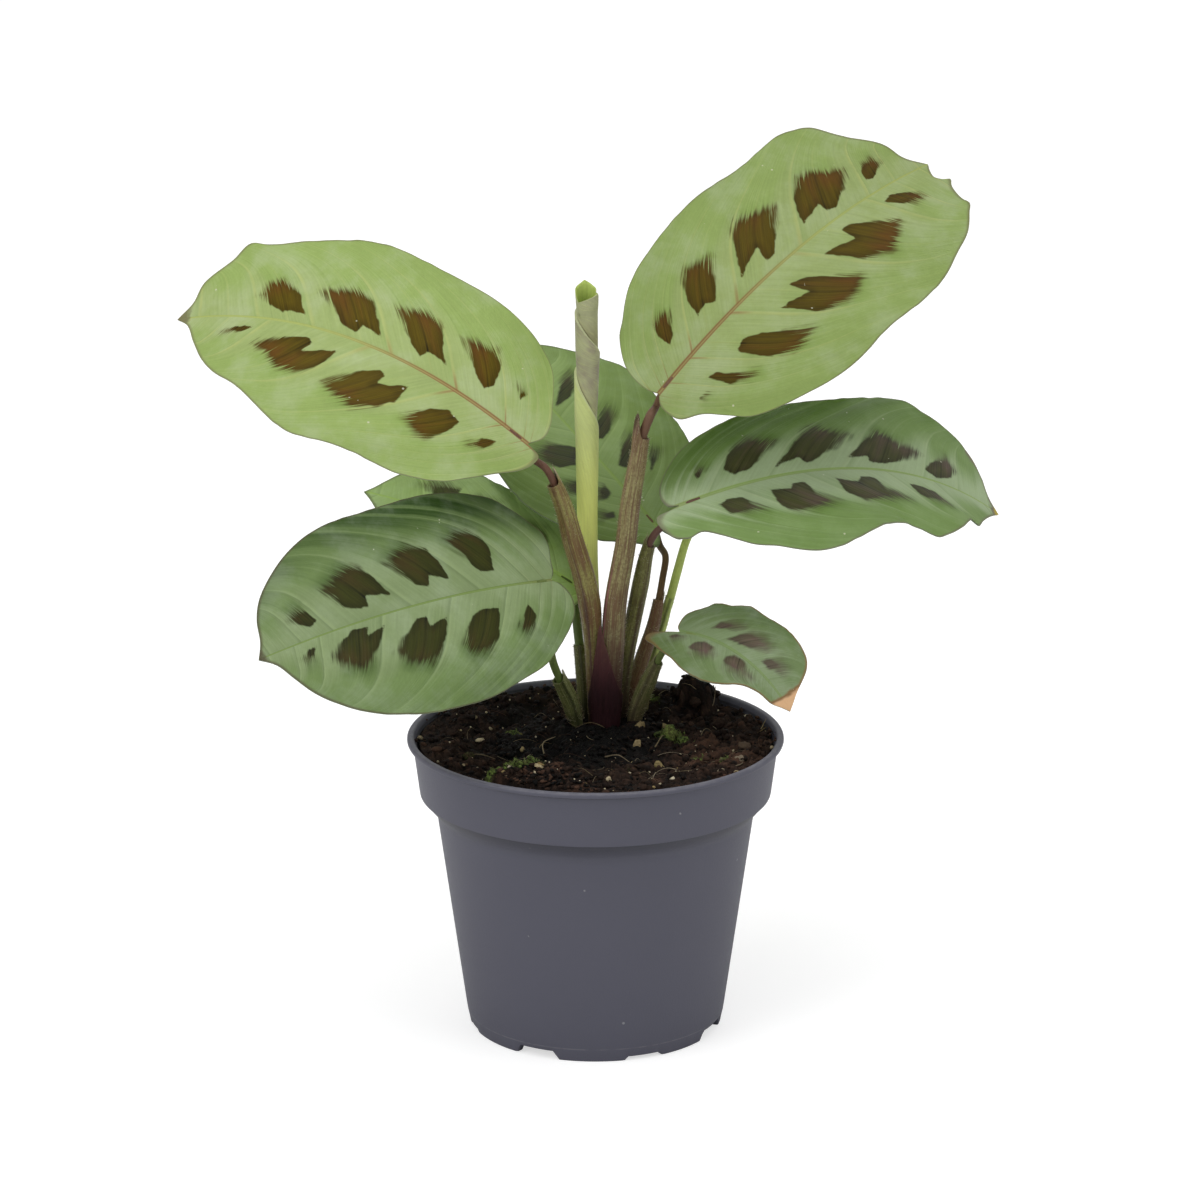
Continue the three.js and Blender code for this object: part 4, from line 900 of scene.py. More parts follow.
# Root fibres and straw: short paths that wander over the soil and lift a little off it.
def makeFibres(material):
    v = fibreValues
    count = v["count"]
    rng = np.random.default_rng(33)
    r, a = v["reach"] * np.sqrt(rng.uniform(0, 1, count)), rng.uniform(0, tau, count)
    length = rng.uniform(v["shortest"], v["longest"], count)
    heading, bend = rng.uniform(0, tau, count), rng.uniform(-1.6, 1.6, count)
    t = np.linspace(0, 1, 9)[None, :]
    way = heading[:, None] + bend[:, None] * t
    x = r[:, None] * np.cos(a)[:, None] + np.cumsum(np.cos(way), 1) / 9 * length[:, None]
    y = r[:, None] * np.sin(a)[:, None] + np.cumsum(np.sin(way), 1) / 9 * length[:, None]
    inward = np.minimum(1, v["inside"] / np.hypot(x, y))
    x, y = x * inward, y * inward
    z = soilHeight(x, y, False)[0] + 0.25 + rng.uniform(0.1, 0.9, count)[:, None] * np.sin(math.pi * t)
    paths = np.stack([x, y, z], -1)
    radii = v["thickness"] * rng.uniform(0.5, 1.3, count)[:, None] * (1 - 0.7 * t)
    bodies = tubePoints(paths, radii, 5)
    marks = np.stack([rng.uniform(0.2, 1.1, count), np.zeros(count),
                      (rng.uniform(0, 1, count) < 0.45) * 0.45], -1)
    makeScatter("rootFibres", bodies, marks, material)
    straws = np.array(v["straws"])
    paths = np.stack([smoothCurve(straw[:3], np.linspace(0, 2, 17)) for straw in straws])
    radii = np.full(paths.shape[:2], v["strawThickness"]) * np.linspace(1, 0.4, 17)
    bodies, marks = tubePoints(paths, radii, 6), straws[:, 3]
    makeScatter("strawFibres", bodies, marks, material)


mossValues = {
    "count": 620, "height": 0.75, "width": 0.1,
    # where it grows: x, y, radius
    "spots": [(12, 4.6, 1.7), (13.8, 2.6, 0.9), (-15.8, -20.7, 0.9), (-13.6, -20.1, 1.1), (-11.6, -19.7, 1.1),
              (-9.8, -19.3, 0.8), (16, -7.2, 0.7), (-13.4, 5.9, 0.8), (20, -9, 0.8), (9, 21, 1.1)],
}


# Moss: tapering threads, thickest where the soil is greenest.
def makeMoss(material):
    v = mossValues
    count = v["count"]
    rng = np.random.default_rng(12)
    spots = np.array(v["spots"])
    spot = spots[rng.choice(len(spots), count, p=spots[:, 2] ** 2 / (spots[:, 2] ** 2).sum())]
    x, y = (spot[:, 0] + rng.normal(0, 0.55, count) * spot[:, 2], spot[:, 1] + rng.normal(0, 0.4, count)
            * spot[:, 2])
    foot = onSoil(x, y, -0.05)
    lean = unit(np.stack([rng.normal(0, 0.6, count), rng.normal(0, 0.6, count), rng.uniform(0.5, 1, count)],
                         -1))
    t = np.linspace(0, 1, 4)
    tall = v["height"] * rng.uniform(0.35, 1, count)
    paths = foot[:, None] + lean[:, None] * t[:, None] * tall[:, None, None]
    paths[..., 2] += 0.2 * np.sin(t * 2) * tall[:, None]
    radii = v["width"] * (1 - t) ** 0.7 * rng.uniform(0.6, 1.2, count)[:, None] + 0.01
    bodies = tubePoints(paths, radii, 4)
    marks = np.stack([rng.uniform(0.2, 1, count), np.ones(count), rng.uniform(0, 0.14, count)], -1)
    makeScatter("mossTufts", bodies, marks, material)


mixMaterial = soilMaterial("pottingMix")
makeSoil(mixMaterial)
makeCrumbs(mixMaterial)
makeBits(mixMaterial)
makeFibres(mixMaterial)
makeMoss(mixMaterial)
print("soil: surface, crumbs, fibres and moss done")


# Every blade has these: thickness, how fast the halves bend back (per mm), how far they rise (degrees),
# edge waves, quilting between the veins, and the midrib's depth underneath.
bladeValues = {
    "blotchWay": (0.55, 0.83),  # the way that a blotch points, along and out: its far end is feathered
    "thickness": 0.32, "arch": 0.004, "fold": 6, "wave": 0.45, "midribDepth": 0.45,
    "rows": 170, "columns": 40,
}

# Where a leaf is: base and tip of its midrib, roll about it, how far it bows up (bulge) and right (sway),
# twist, waves along the edge, and each half's outline as (along, out) from the notch to the tip.
# Blotches are (along, out) corners.
# deep: how far the deep outer green goes on the right and the left half; a half turned from the light gets
# more of it, as painted shade
leaves = {
    "upper_left": {
        "base": (-10.7, 6, 94.1), "tip": (-67.7, 31.8, 108.1), "roll": -39, "bulge": 8.6, "sway": 2.4,
        "twist": -8, "waves": 4,
        "right": [(-1.2, 2.6), (-0.8, 5), (0.6, 7.8), (3.6, 12.8), (6.2, 14.7), (9.9, 16.2), (17.8, 17.6),
            (27.4, 18), (37.6, 17.8), (45.2, 16.1), (51.9, 13.8), (55.4, 13.8), (57.4, 10.7), (61.2, 6.6),
            (62, 2.7)],
        "left": [(-2.2, 0.4), (-2.3, 2.4), (-1.4, 4.8), (0.8, 7.9), (3.4, 11.7), (6.3, 15.2), (11.9, 17.9),
            (20.8, 18.9), (31, 20), (36.1, 18.8), (41.4, 16.4), (46, 14), (52.1, 11.3), (55.6, 8.8),
            (58.5, 5.5), (61.5, 1.6)],
        "look": "light", "lightness": 0.86, "deep": (0.3, 0.2),
        "blotchesRight": [[(16.5, 8.5), (11.5, 10), (9.7, 8), (8.8, 4.5), (9.8, 3), (11.5, 4), (14, 6)],
            [(28, 8), (23, 9.5), (20.2, 8.6), (18.2, 5), (16.2, 2.8), (20, 3.5), (20.4, 1.8), (23.5, 4),
            (26, 6)], [(40.5, 6.5), (35, 8.6), (31.5, 7.6), (29.6, 5), (27.2, 2), (31.2, 3), (31.5, 1.2),
            (34.5, 2), (37.5, 4.5)], [(50, 4), (49.5, 6.5), (47, 7.5), (44, 6), (40.8, 1.8), (44, 2),
            (45, 1.4), (47.5, 2.5)], [(4.7, 5), (5.7, 7), (4.3, 6.6)]],
        "blotchesLeft": [[(54.5, 3.5), (52, 2.1), (48.5, 2), (50.5, 3.2)], [(47, 5.5), (41.5, 3),
            (38.5, 2.4), (37, 3.2), (38, 5.2), (32.3, 2.9), (34, 7.5), (37, 9.5), (40.5, 9.5), (43.5, 7.5)],
            [(32, 9.5), (27.5, 5.5), (24.5, 3.4), (23, 4), (24, 6.4), (19, 3.8), (19.5, 7.5), (21.5, 10),
            (25, 12), (27.5, 11.5), (30.5, 10.5)], [(17.5, 9.5), (14.5, 5.5), (12, 3.8), (9.7, 4.6),
            (10, 7), (12, 10.6), (14, 10.8)], [(6.5, 7), (5.5, 4.5), (3.8, 3.6), (4.4, 6)]],
    },
    "upper_right": {
        "base": (10, 9, 101.5), "tip": (54.2, 44.2, 131.1), "roll": 31, "bulge": 6.9, "sway": -0.3,
        "twist": -2, "waves": 4,
        "right": [(-1.2, 1.5), (-1.5, 3.6), (-1.1, 5.7), (1.4, 8), (3.5, 11.3), (5.4, 14.4), (8.2, 16.6),
            (12.5, 18.8), (17.3, 20.5), (23.2, 21.2), (30.4, 20.9), (37.4, 21.3), (44.9, 20.1), (51, 17.7),
            (55.2, 15.9), (59.3, 12.7), (61.5, 10.8), (61.3, 9.6), (61.6, 8.2), (62.6, 6.1), (63.9, 4.7),
            (62.7, 4.2), (61.8, 3), (62.5, 1.5)],
        "left": [(-0.6, 2), (-0.5, 4.6), (0.3, 7.4), (3.1, 11.1), (5, 12.3), (8.9, 14.9), (12, 16.3),
            (16.3, 17.4), (21, 18.1), (26.5, 18.3), (36.5, 17.8), (46.5, 18.3), (50.4, 17.5), (53.1, 16.2),
            (56, 12.4), (60.2, 7.4), (61, 3)],
        "look": "light", "lightness": 0.72, "scorchedFrom": 1.1, "deep": (0.25, 0.3),
        "blotchesRight": [[(50, 2.5), (52, 2), (54.5, 3), (56.5, 4.4), (56.5, 6), (54, 5.8), (51.5, 4.4)],
            [(40, 2.4), (41.8, 2.4), (44, 3.6), (49, 7), (46, 9.6), (42.5, 11.4), (38, 9), (34.2, 3.8),
            (36.8, 4.1), (40.2, 5.3)], [(26.2, 4), (28.7, 4.8), (32, 8), (35.5, 11), (33, 12.6), (30, 13.5),
            (25.5, 11), (21.8, 5.8), (23.7, 6.1), (27.2, 7.3)], [(12.3, 5.6), (14.5, 4.9), (17, 6.8),
            (22.5, 12.4), (19.7, 13.1), (17.5, 13), (14.5, 10.5), (12.8, 7.2)], [(6.4, 5), (7.6, 5.5),
            (9.3, 8), (11.5, 10.6), (9.3, 10), (7.3, 8.6)], [(3, 6), (4, 6.6), (3.4, 6.8)]],
        "blotchesLeft": [[(53.5, 5.5), (56, 6), (56.5, 4), (52.8, 2.4), (51.3, 2.6), (52.3, 4.5)], [(40, 8),
            (42.5, 10), (45, 9.6), (50, 6.5), (47, 3.6), (43, 1.4), (41.3, 2), (41.4, 4), (36.3, 2.4),
            (37.6, 5.2)], [(27, 9.6), (29, 10.6), (31.5, 10), (36, 8.2), (32, 4.4), (29, 1.9), (27.2, 2),
            (27.7, 4.6), (22.3, 2.8), (24.6, 6.4)], [(15.5, 9.6), (17.5, 10.6), (22, 9), (19, 5.5),
            (16.4, 2.8), (15.1, 4), (12.8, 3.4), (13.4, 5.8)], [(7.5, 8), (9.6, 8.6), (10.5, 7.5),
            (8.3, 4.6), (6.8, 3.8), (6.6, 6)]],
    },
    "right": {
        "base": (13.3, 9, 83.2), "tip": (66.5, 37.7, 73.7), "roll": 31, "bulge": 8.5, "sway": -0.9,
        "twist": 4, "waves": 4,
        "right": [(-1.2, 0.4), (-3.4, 0.5), (-3.9, 2), (-3.5, 4.3), (-2.8, 6.2), (-1.2, 7.2), (0.9, 6.9),
            (3, 8.8), (6.7, 13.3), (9.8, 15.1), (12.7, 16.6), (16, 17.3), (19.7, 17), (24.2, 15.6),
            (31, 13.2), (35, 13.1), (39.5, 14.5), (42.6, 13.3), (46.2, 11), (50.6, 7.4), (51, 8),
            (51.5, 8.3), (54, 5.9), (56.9, 3.3)],
        "left": [(-1.4, 0.6), (-1.8, 2.1), (-1.5, 4), (0.2, 6.7), (3, 9.4), (5.8, 11), (9.6, 12.3),
            (13.9, 13.7), (24.3, 14.8), (29.8, 14.9), (38.4, 17.3), (43.5, 18.2), (47.3, 18), (50.2, 16.7),
            (56.7, 14.7), (59, 11.5), (59.4, 7), (59.6, 2.5)],
        "look": "greyed", "lightness": 1.12, "deep": (0.35, 1.0),
        "blotchesRight": [[(5, 3), (6.5, 2.4), (8.7, 3), (10.8, 6.6), (8, 6.6), (5.8, 5.5)], [(13.2, 2.8),
            (16.5, 3.6), (17.2, 2.4), (19.2, 2.5), (20, 5.3), (23, 7.8), (19, 9), (16, 9), (14.3, 8),
            (13.3, 5.5)], [(24.8, 2.4), (28.5, 3.6), (29.6, 2), (32.2, 2.4), (33.2, 4.6), (37.4, 6.8),
            (32, 7.6), (28, 8), (25.2, 6)], [(38.8, 2.8), (42, 3), (44, 3.6), (46.4, 5.8), (42, 6),
            (39.8, 5.2)]],
        "blotchesLeft": [[(4, 4.5), (5, 5.5), (5.6, 5), (4.6, 3.6), (4, 3.5)], [(8.4, 3.6), (9.5, 6),
            (11.5, 7.6), (14, 8.6), (18.4, 7), (15.5, 4.8), (12, 2.4), (9.4, 2.3)], [(16.2, 1.9), (18.5, 4),
            (21, 6), (23, 8), (25.5, 9), (31.2, 7.2), (28, 4.8), (25, 2.9), (21.3, 1.4), (20.4, 2.8),
            (18, 2.4)], [(29.2, 2.4), (32, 4.6), (34, 6.6), (37, 8.6), (40.5, 6.8), (45, 5.6), (40, 2.8),
            (36, 1.4), (32.6, 1.5), (33, 2.6)], [(43.8, 1.9), (46.5, 4), (51, 7.2), (52.4, 4.5),
            (50.5, 2.4), (46.5, 0.9)]],
    },
    "lower_left": {
        "base": (-7, 2, 72.9), "tip": (-50.7, -36.9, 71.8), "roll": -48, "bulge": 2.7, "sway": 0.9,
        "twist": -2, "waves": 3,
        "right": [(-1.2, 1.4), (-1.6, 3.4), (-2.5, 6), (-2.3, 8.2), (-0.8, 10.1), (1.5, 12.7), (4.7, 15.3),
            (8.7, 16.4), (13.4, 17.1), (20.6, 17.4), (31.8, 17), (36.1, 16.7), (40.6, 15.9), (44.4, 14.7),
            (48.6, 12.6), (53.7, 8.7), (55.8, 5.7), (57, 2.4)],
        "left": [(-1.7, 1), (-2.5, 3.3), (-1.5, 6.1), (1, 8.6), (6, 12.1), (10.8, 14.8), (16.6, 16.4),
            (23.7, 17.8), (30.4, 18.1), (36.1, 17.8), (40.3, 16.8), (46, 14.4), (50.3, 11.4), (53.3, 8.3),
            (55, 5.2), (56.4, 2)],
        "look": "dark", "lightness": 0.97, "deep": (1.0, 0.4),
        "blotchesRight": [[(18.2, 9), (16, 10.2), (13, 10), (11, 8.6), (10.3, 6.5), (11.3, 2.8), (14, 2.9),
            (15.8, 5.4)], [(31.3, 7.6), (28.5, 9), (26, 10), (22.5, 8.6), (21.3, 6), (20.8, 2.8), (24.2, 4),
            (25, 2.2), (27.2, 2.9), (29.5, 5.6)], [(43.8, 6.6), (41, 8), (38, 9), (35.8, 8.5), (34.3, 6.3),
            (32.7, 2.8), (37, 3.6), (37.4, 2), (39.4, 1.9), (41.7, 3)], [(51.3, 4), (49, 5.1), (47.8, 4),
            (46.8, 2.4), (48.2, 1.8), (50.2, 2.8)]],
        "blotchesLeft": [[(12, 7.6), (9.5, 5), (8, 4), (7.4, 6), (9.3, 8.2), (11.5, 8.7)], [(24.6, 8.6),
            (22.5, 6.4), (19.5, 3.8), (17.2, 3.3), (14.3, 3.8), (15.6, 6.5), (17.5, 9), (20.5, 10.6),
            (24, 10.6)], [(36.7, 6.6), (34, 4.4), (30.2, 2.3), (28.2, 2.3), (28.7, 4.2), (24.6, 3.2),
            (27.3, 7), (29.5, 9), (32, 10.2), (36, 9)], [(47.2, 4), (44.5, 2), (41.5, 0.9), (39.3, 1.3),
            (40.2, 2.7), (36.2, 1.8), (38.8, 4.5), (41, 6.6), (43.5, 7.6), (46.7, 6)], [(52.2, 2.6),
            (50.5, 1.5), (48.8, 1.4), (50.2, 2.8), (52, 3.2)]],
    },
    "small_right": {
        "base": (13.4, 5, 63.4), "tip": (30.5, -12, 55.6), "roll": 24, "bulge": 2.5, "sway": -1.5,
        "twist": 0, "waves": 2.5,
        "right": [(-1, 0.4), (-2.6, 0.5), (-4.3, 0.3), (-5.5, 0.7), (-5.2, 2), (-3, 3.4), (0.4, 5.4),
            (3.3, 6.6), (6, 7.8), (8.5, 8.4), (12.3, 8.1), (15.2, 6.6), (17.7, 4.1), (20.4, 2.7), (23, 2),
            (24.3, 0.9)],
        "left": [(-0.9, 1), (-1.2, 2.4), (-1.1, 3.9), (-0.1, 5), (1.2, 6), (2.3, 7.2), (5, 7.5), (7.5, 8.7),
            (10.1, 8.5), (14.4, 8.7), (18.1, 7.9), (19.8, 7.2), (21.1, 6.1), (23.3, 2.6), (24.4, 1.2)],
        "look": "small", "lightness": 0.98, "deep": (0.4, 0.6),
        "blotchesRight": [[(-1, 1.5), (0, 0.9), (1.6, 1.1), (0.8, 2)], [(4.4, 3.4), (4.6, 1.9), (6, 1),
            (8.2, 1.5), (9.5, 3), (8, 4.1), (6, 4.1)], [(11.7, 3), (11.4, 1.8), (12.2, 0.6), (14, 0.5),
            (17.6, 1.9), (16, 3), (14, 3.6)]],
        "blotchesLeft": [[(5, 2), (5.5, 3.8), (7, 4.5), (9.2, 4.5), (8.5, 3.3), (6.5, 2.4)], [(8.8, 1.3),
            (9.6, 3), (11, 4.5), (12.7, 5.1), (14.8, 4.5), (15.1, 3.4), (13, 1.9), (11.2, 1.3)],
            [(15.8, 1.3), (16.4, 2.6), (17.6, 3.6), (19.2, 3.6), (19.7, 2.4), (18, 1.3)]],
    },
    "back_centre": {
        "base": (9.9, 22, 76), "tip": (-18.3, 68, 95.1), "roll": -6, "bulge": 1.5, "sway": -0.5, "twist": 0,
        "waves": 3.5,
        "right": [(-2.2, 0.7), (-4.2, 1.8), (-3.6, 3.4), (-1.2, 5.6), (3, 9), (8, 12.6), (12, 14.8),
            (16.5, 16), (22.2, 17.3), (32, 17.6), (40.7, 17), (44.7, 15.1), (48.2, 12), (51.6, 8.6),
            (54.4, 5), (56.4, 2)],
        "left": [(-2.4, 0.8), (-4.3, 2.6), (-2.6, 5), (-1.2, 8), (0.3, 11.2), (4.6, 14.8), (10.6, 17.1),
            (17.4, 17.6), (30, 16.9), (38, 15), (46, 11), (52, 6.4), (56, 2.2)],
        "look": "shaded", "lightness": 1.25, "deep": (0.6, 0.7),
        "blotchesRight": [[(37, 2.5), (40.5, 5), (42.5, 8), (38.5, 7), (35.5, 4), (34.5, 1)], [(47, 2),
            (49.5, 4), (47, 5), (45, 3)], [(30, 6.5), (30.5, 8.5), (27.5, 8.2), (24.5, 5.6), (23, 3.2),
            (24, 2.3)], [(20, 5), (22.2, 7.6), (21, 8.6), (17.5, 6.6), (14.3, 3), (15.7, 2.3)], [(17.5, 9),
            (16.5, 10.4), (14, 8.4), (11.6, 5.8)]],
        "blotchesLeft": [[(23, 9.3), (25.3, 6), (22.5, 1.8), (18, 4.6), (18.4, 7.5), (20.5, 9.6)], [(38, 3),
            (37, 7), (33, 8), (31, 3), (34, 1.4)], [(14.5, 9.3), (14.6, 6.6), (11.5, 4), (10.4, 8),
            (12, 9.8)], [(11.5, 4.6), (12.2, 2.8), (9.7, 2.8), (8.3, 4.4), (9, 6.2)], [(5.5, 7.5), (5.4, 5),
            (3.8, 5.6), (4.2, 8)], [(49, 2.4), (48, 5), (45, 4.6), (45.5, 2)]],
    },
    "back_left": {
        "base": (-2.8, 16, 67.6), "tip": (-38, 34, 78.6), "roll": -28, "bulge": 3, "sway": 0, "twist": 0,
        "waves": 3,
        "right": [(-1.4, 1.6), (-1.2, 4), (1.6, 6.8), (6, 8.8), (12, 9.4), (19, 10), (26, 10.2), (32, 8.6),
            (37, 5.6), (38.6, 3.4), (39.8, 1.4)],
        "left": [(-1.4, 1.6), (-1.2, 4), (1.4, 6.8), (6, 9.4), (12, 10.8), (19, 11), (26, 9.8), (32, 6.8),
            (36.4, 3.4), (39, 1.4)],
        # its high lightness and strong sheen veil are painted light: the bright gloss on its tip
        "look": "overlapped", "lightness": 1.9, "deep": (0.3, 0.9),
        "blotchesRight": [[(8, 1.8), (10.5, 2.2), (13, 5), (10, 5.6), (8, 4)], [(17, 1.6), (19.5, 2),
            (22, 5.4), (19, 6), (16.8, 4)], [(25.5, 3.2), (28, 2.4), (32.2, 4.6), (29, 5.8), (26, 6)]],
        "blotchesLeft": [[(8, 1.8), (10.5, 2.4), (13, 5.6), (10, 6), (8, 4.4)], [(17, 1.6), (19.5, 2.2),
            (22, 6), (19, 6.4), (16.8, 4)], [(25.5, 1.8), (28, 2), (31, 4.4), (28, 4.8), (25.8, 3.4)]],
    },
    "back_right": {
        "base": (16.9, 17.5, 80.6), "tip": (49, 37, 81), "roll": 14, "bulge": 3.5, "sway": 0, "twist": 0,
        "waves": 2.5,
        "right": [(-1.2, 1.4), (-1, 3.4), (1.4, 5.8), (6, 7.8), (12, 9), (18, 9.2), (24, 8.2), (30, 5.6),
            (34.4, 2.6)],
        "left": [(-1.2, 1.4), (-1, 3.4), (1.4, 5.8), (6, 7.6), (12, 8.8), (18, 8.8), (24, 7.6), (30, 5),
            (34.4, 2.2)],
        "look": "light", "lightness": 1.1, "deep": (0.3, 0.3),
        "blotchesRight": [[(7, 1.6), (9, 1.8), (12, 4.8), (9.5, 5), (7.4, 3.6)], [(14.5, 1.5), (16.5, 1.8),
            (19.5, 5), (17, 5.4), (14.8, 3.6)], [(22, 1.5), (24, 1.8), (27, 4), (24.6, 4.4), (22.4, 3.2)]],
        "blotchesLeft": [[(7, 1.6), (9, 1.8), (12, 4.6), (9.5, 5), (7.4, 3.6)], [(14.5, 1.5), (16.5, 1.8),
            (19.5, 4.8), (17, 5.2), (14.8, 3.6)], [(22, 1.5), (24, 1.8), (27, 3.8), (24.6, 4.2),
            (22.4, 3.2)]],
    },
}

# Looks of each kind of leaf: quilting between the veins (mm), shine, and the colours and reaches of the
# leaf pattern, which each leaf scales by its own lightness; that lightness is partly painted light, set for
# how brightly each leaf is lit. The red of the midrib and the pale middle reach so far, Torn is how far
# blotches fray (mm).
leafLooks = {
    "light": {
        "quilt": 0.16, "shine": 0.1, "Outer": (158, 181, 104), "Deep": (138, 166, 84),
        "Pale": (166, 184, 116), "Blotch": (88, 74, 14), "Blotch Red": (98, 68, 22), "Vein": (190, 198, 122),
        "Midrib Foot": (148, 104, 70), "Midrib Tip": (172, 184, 104), "Edge": (130, 130, 92),
        "Under": (160, 174, 138), "Under Blotch": (128, 118, 98), "Bloom": (180, 190, 156),
        "Scorch": (128, 114, 80), "Red Reach": 0.5, "Pale Reach": 0.3, "Pale Arms": 0.3, "Streaks": 0.16,
        "Torn": 2.6, "Blur": 1.0, "Bloom Amount": 0.4, "Vein Amount": 0.55, "Scorched From": 0.985,
        "Sheen": 0.5},
    # its very dark Deep green also paints the shade along the edge of the half turned from the light
    "dark": {
        "quilt": 0.24, "shine": 0.2, "Outer": (114, 137, 82), "Deep": (42, 68, 14), "Pale": (134, 152, 106),
        "Blotch": (50, 53, 14), "Blotch Red": (60, 52, 20), "Vein": (154, 172, 122),
        "Midrib Foot": (122, 92, 66), "Midrib Tip": (112, 136, 62), "Edge": (88, 84, 62),
        "Under": (134, 150, 124), "Under Blotch": (96, 92, 88), "Bloom": (152, 164, 140),
        "Scorch": (112, 118, 66), "Red Reach": 0.05, "Pale Reach": 0.27, "Pale Arms": 0.28, "Streaks": 0.14,
        "Torn": 2.2, "Blur": 1.1, "Bloom Amount": 0.3, "Vein Amount": 0.45, "Midrib Width": 0.6,
        "Scorched From": 0.993, "Sheen": 0.46},
    # its grey-green pale and purple-grey blotch red are partly painted sheen
    "greyed": {
        "quilt": 0.24, "shine": 0.3, "Outer": (112, 138, 76), "Deep": (78, 108, 32), "Pale": (152, 170, 130),
        "Blotch": (62, 64, 32), "Blotch Red": (80, 68, 56), "Vein": (158, 174, 130),
        "Midrib Foot": (122, 110, 74), "Midrib Tip": (132, 156, 82), "Edge": (108, 106, 82),
        "Under": (138, 152, 128), "Under Blotch": (100, 96, 92), "Bloom": (148, 160, 130),
        "Scorch": (170, 150, 50), "Red Reach": 0.0, "Pale Reach": 0.27, "Pale Arms": 0.2, "Streaks": 0.14,
        "Torn": 2.4, "Blur": 1.4, "Bloom Amount": 0.15, "Vein Amount": 0.38, "Scorched From": 0.965,
        "Sheen": 0.44},
    "small": {
        "quilt": 0.12, "shine": 0.25, "Outer": (104, 124, 76), "Deep": (84, 108, 56), "Pale": (120, 138, 98),
        "Blotch": (84, 76, 58), "Blotch Red": (94, 74, 68), "Vein": (130, 146, 110),
        "Midrib Foot": (118, 132, 92), "Midrib Tip": (112, 134, 78), "Edge": (122, 92, 56),
        "Under": (130, 146, 122), "Under Blotch": (98, 92, 90), "Bloom": (140, 150, 130),
        "Scorch": (205, 165, 124), "Red Reach": -0.3, "Pale Reach": 0.3, "Pale Arms": 0.3, "Streaks": 0.16,
        "Torn": 1.6, "Blur": 2.2, "Bloom Amount": 0.5, "Vein Amount": 0.35, "Scorched From": 0.9,
        "Sheen": 0.42},
    "shaded": {
        "quilt": 0.14, "shine": 0.2, "Outer": (100, 122, 60), "Deep": (78, 102, 34), "Pale": (116, 138, 78),
        "Blotch": (44, 50, 14), "Blotch Red": (52, 46, 20), "Vein": (134, 154, 96),
        "Midrib Foot": (110, 120, 66), "Midrib Tip": (118, 142, 68), "Edge": (80, 88, 56),
        "Under": (128, 144, 116), "Under Blotch": (90, 88, 82), "Bloom": (124, 140, 104),
        "Scorch": (84, 80, 50), "Red Reach": -0.3, "Pale Reach": 0.3, "Pale Arms": 0.3, "Streaks": 0.14,
        "Torn": 2.2, "Blur": 2.0, "Bloom Amount": 0.3, "Vein Amount": 0.45, "Scorched From": 0.99,
        "Sheen": 0.48},
}
# shaded too, but pale outside, with a deep green where it lies under its neighbours that is painted shade
leafLooks["overlapped"] = {**leafLooks["shaded"], "Outer": (114, 134, 80), "Deep": (48, 68, 6),
                           "Bloom Amount": 0.5}


# A leaf's own directions: along its chord, out of its face and to its right.
def leafAxes(leaf):
    base, tip, roll = np.array(leaf["base"], float), np.array(leaf["tip"], float), math.radians(leaf["roll"])
    along = unit(tip - base)
    level = unit(np.cross(along, (0, 0, 1)))
    face = np.cross(level, along) * math.cos(roll) + level * math.sin(roll)
    return base, tip - base, face, np.cross(along, face)


# Point of a blade's middle sheet: the midrib is a parabola from base to tip, and across it each
# half rises by the fold and bends back by the arch; lift moves it out of the face.
def bladePoint(leaf, a, w, lift=0.0):
    v = bladeValues
    base, chord, face, right = leafAxes(leaf)
    a, w = np.asarray(a, float)[..., None], np.asarray(w, float)[..., None]
    t = a / np.linalg.norm(chord)
    bow = face * leaf["bulge"] + right * leaf["sway"]
    middle = base + chord * t + bow * 4 * t * (1 - t)
    tangent = unit(chord + bow * 4 * (1 - 2 * t))
    turn = np.radians(leaf["twist"]) * (t - 0.5)
    across = unit(np.cross(tangent, face * np.cos(turn) + right * np.sin(turn)))
    out = np.cross(across, tangent)
    height = (np.abs(w) * math.tan(math.radians(v["fold"])) - w * w * v["arch"]
              + np.asarray(lift, float)[..., None])
    return middle + across * w + out * height


# Signed distance from flat points to a closed outline, below 0 inside: nearest of the sides, and
# inside where an odd number of sides is crossed on the way out.
def outlineDistance(x, y, corners):
    p = np.asarray(corners, float)
    q = np.roll(p, -1, axis=0)
    side = q - p
    dx, dy = x[..., None] - p[:, 0], y[..., None] - p[:, 1]
    t = np.clip((dx * side[:, 0] + dy * side[:, 1]) / (side ** 2).sum(1), 0, 1)
    away = np.hypot(dx - t * side[:, 0], dy - t * side[:, 1]).min(-1)
    crosses = (p[:, 1] > y[..., None]) != (q[:, 1] > y[..., None])
    slope = side[:, 0] / np.where(np.abs(side[:, 1]) < 1e-9, 1e-9, side[:, 1])
    inside = (crosses & (dx < dy * slope)).sum(-1) % 2 == 1
    return np.where(inside, -away, away)


# Where on the midrib, as a share of its length, the side vein through each point starts. Veins leave
# the midrib at a slant and then sweep forward along the edge: start = t ^ (1 + 0.7 out + 2.1 out^5),
# where t is the share along the whole leaf and out the share of the way to its smoothed edge.
def veinStart(outline, length, a, w):
    back = max(-outline[:, 0].min(), 0) + 0.4
    bins = np.linspace(0, 1, 61)
    near = np.abs((outline[None, :, 0] + back) / (length + back) - bins[:, None]) < 0.04
    widest = np.where(near, outline[None, :, 1], 0).max(1)
    widest = np.maximum(np.convolve(np.pad(widest, 4, mode="edge"), np.ones(9) / 9, "valid"), 1)
    t = np.clip((a + back) / (length + back), 0, 1)
    out = np.clip(w / np.interp(t, bins, widest), 0, 1)
    return t ** (1 + 0.7 * out + 2.1 * out ** 5), out


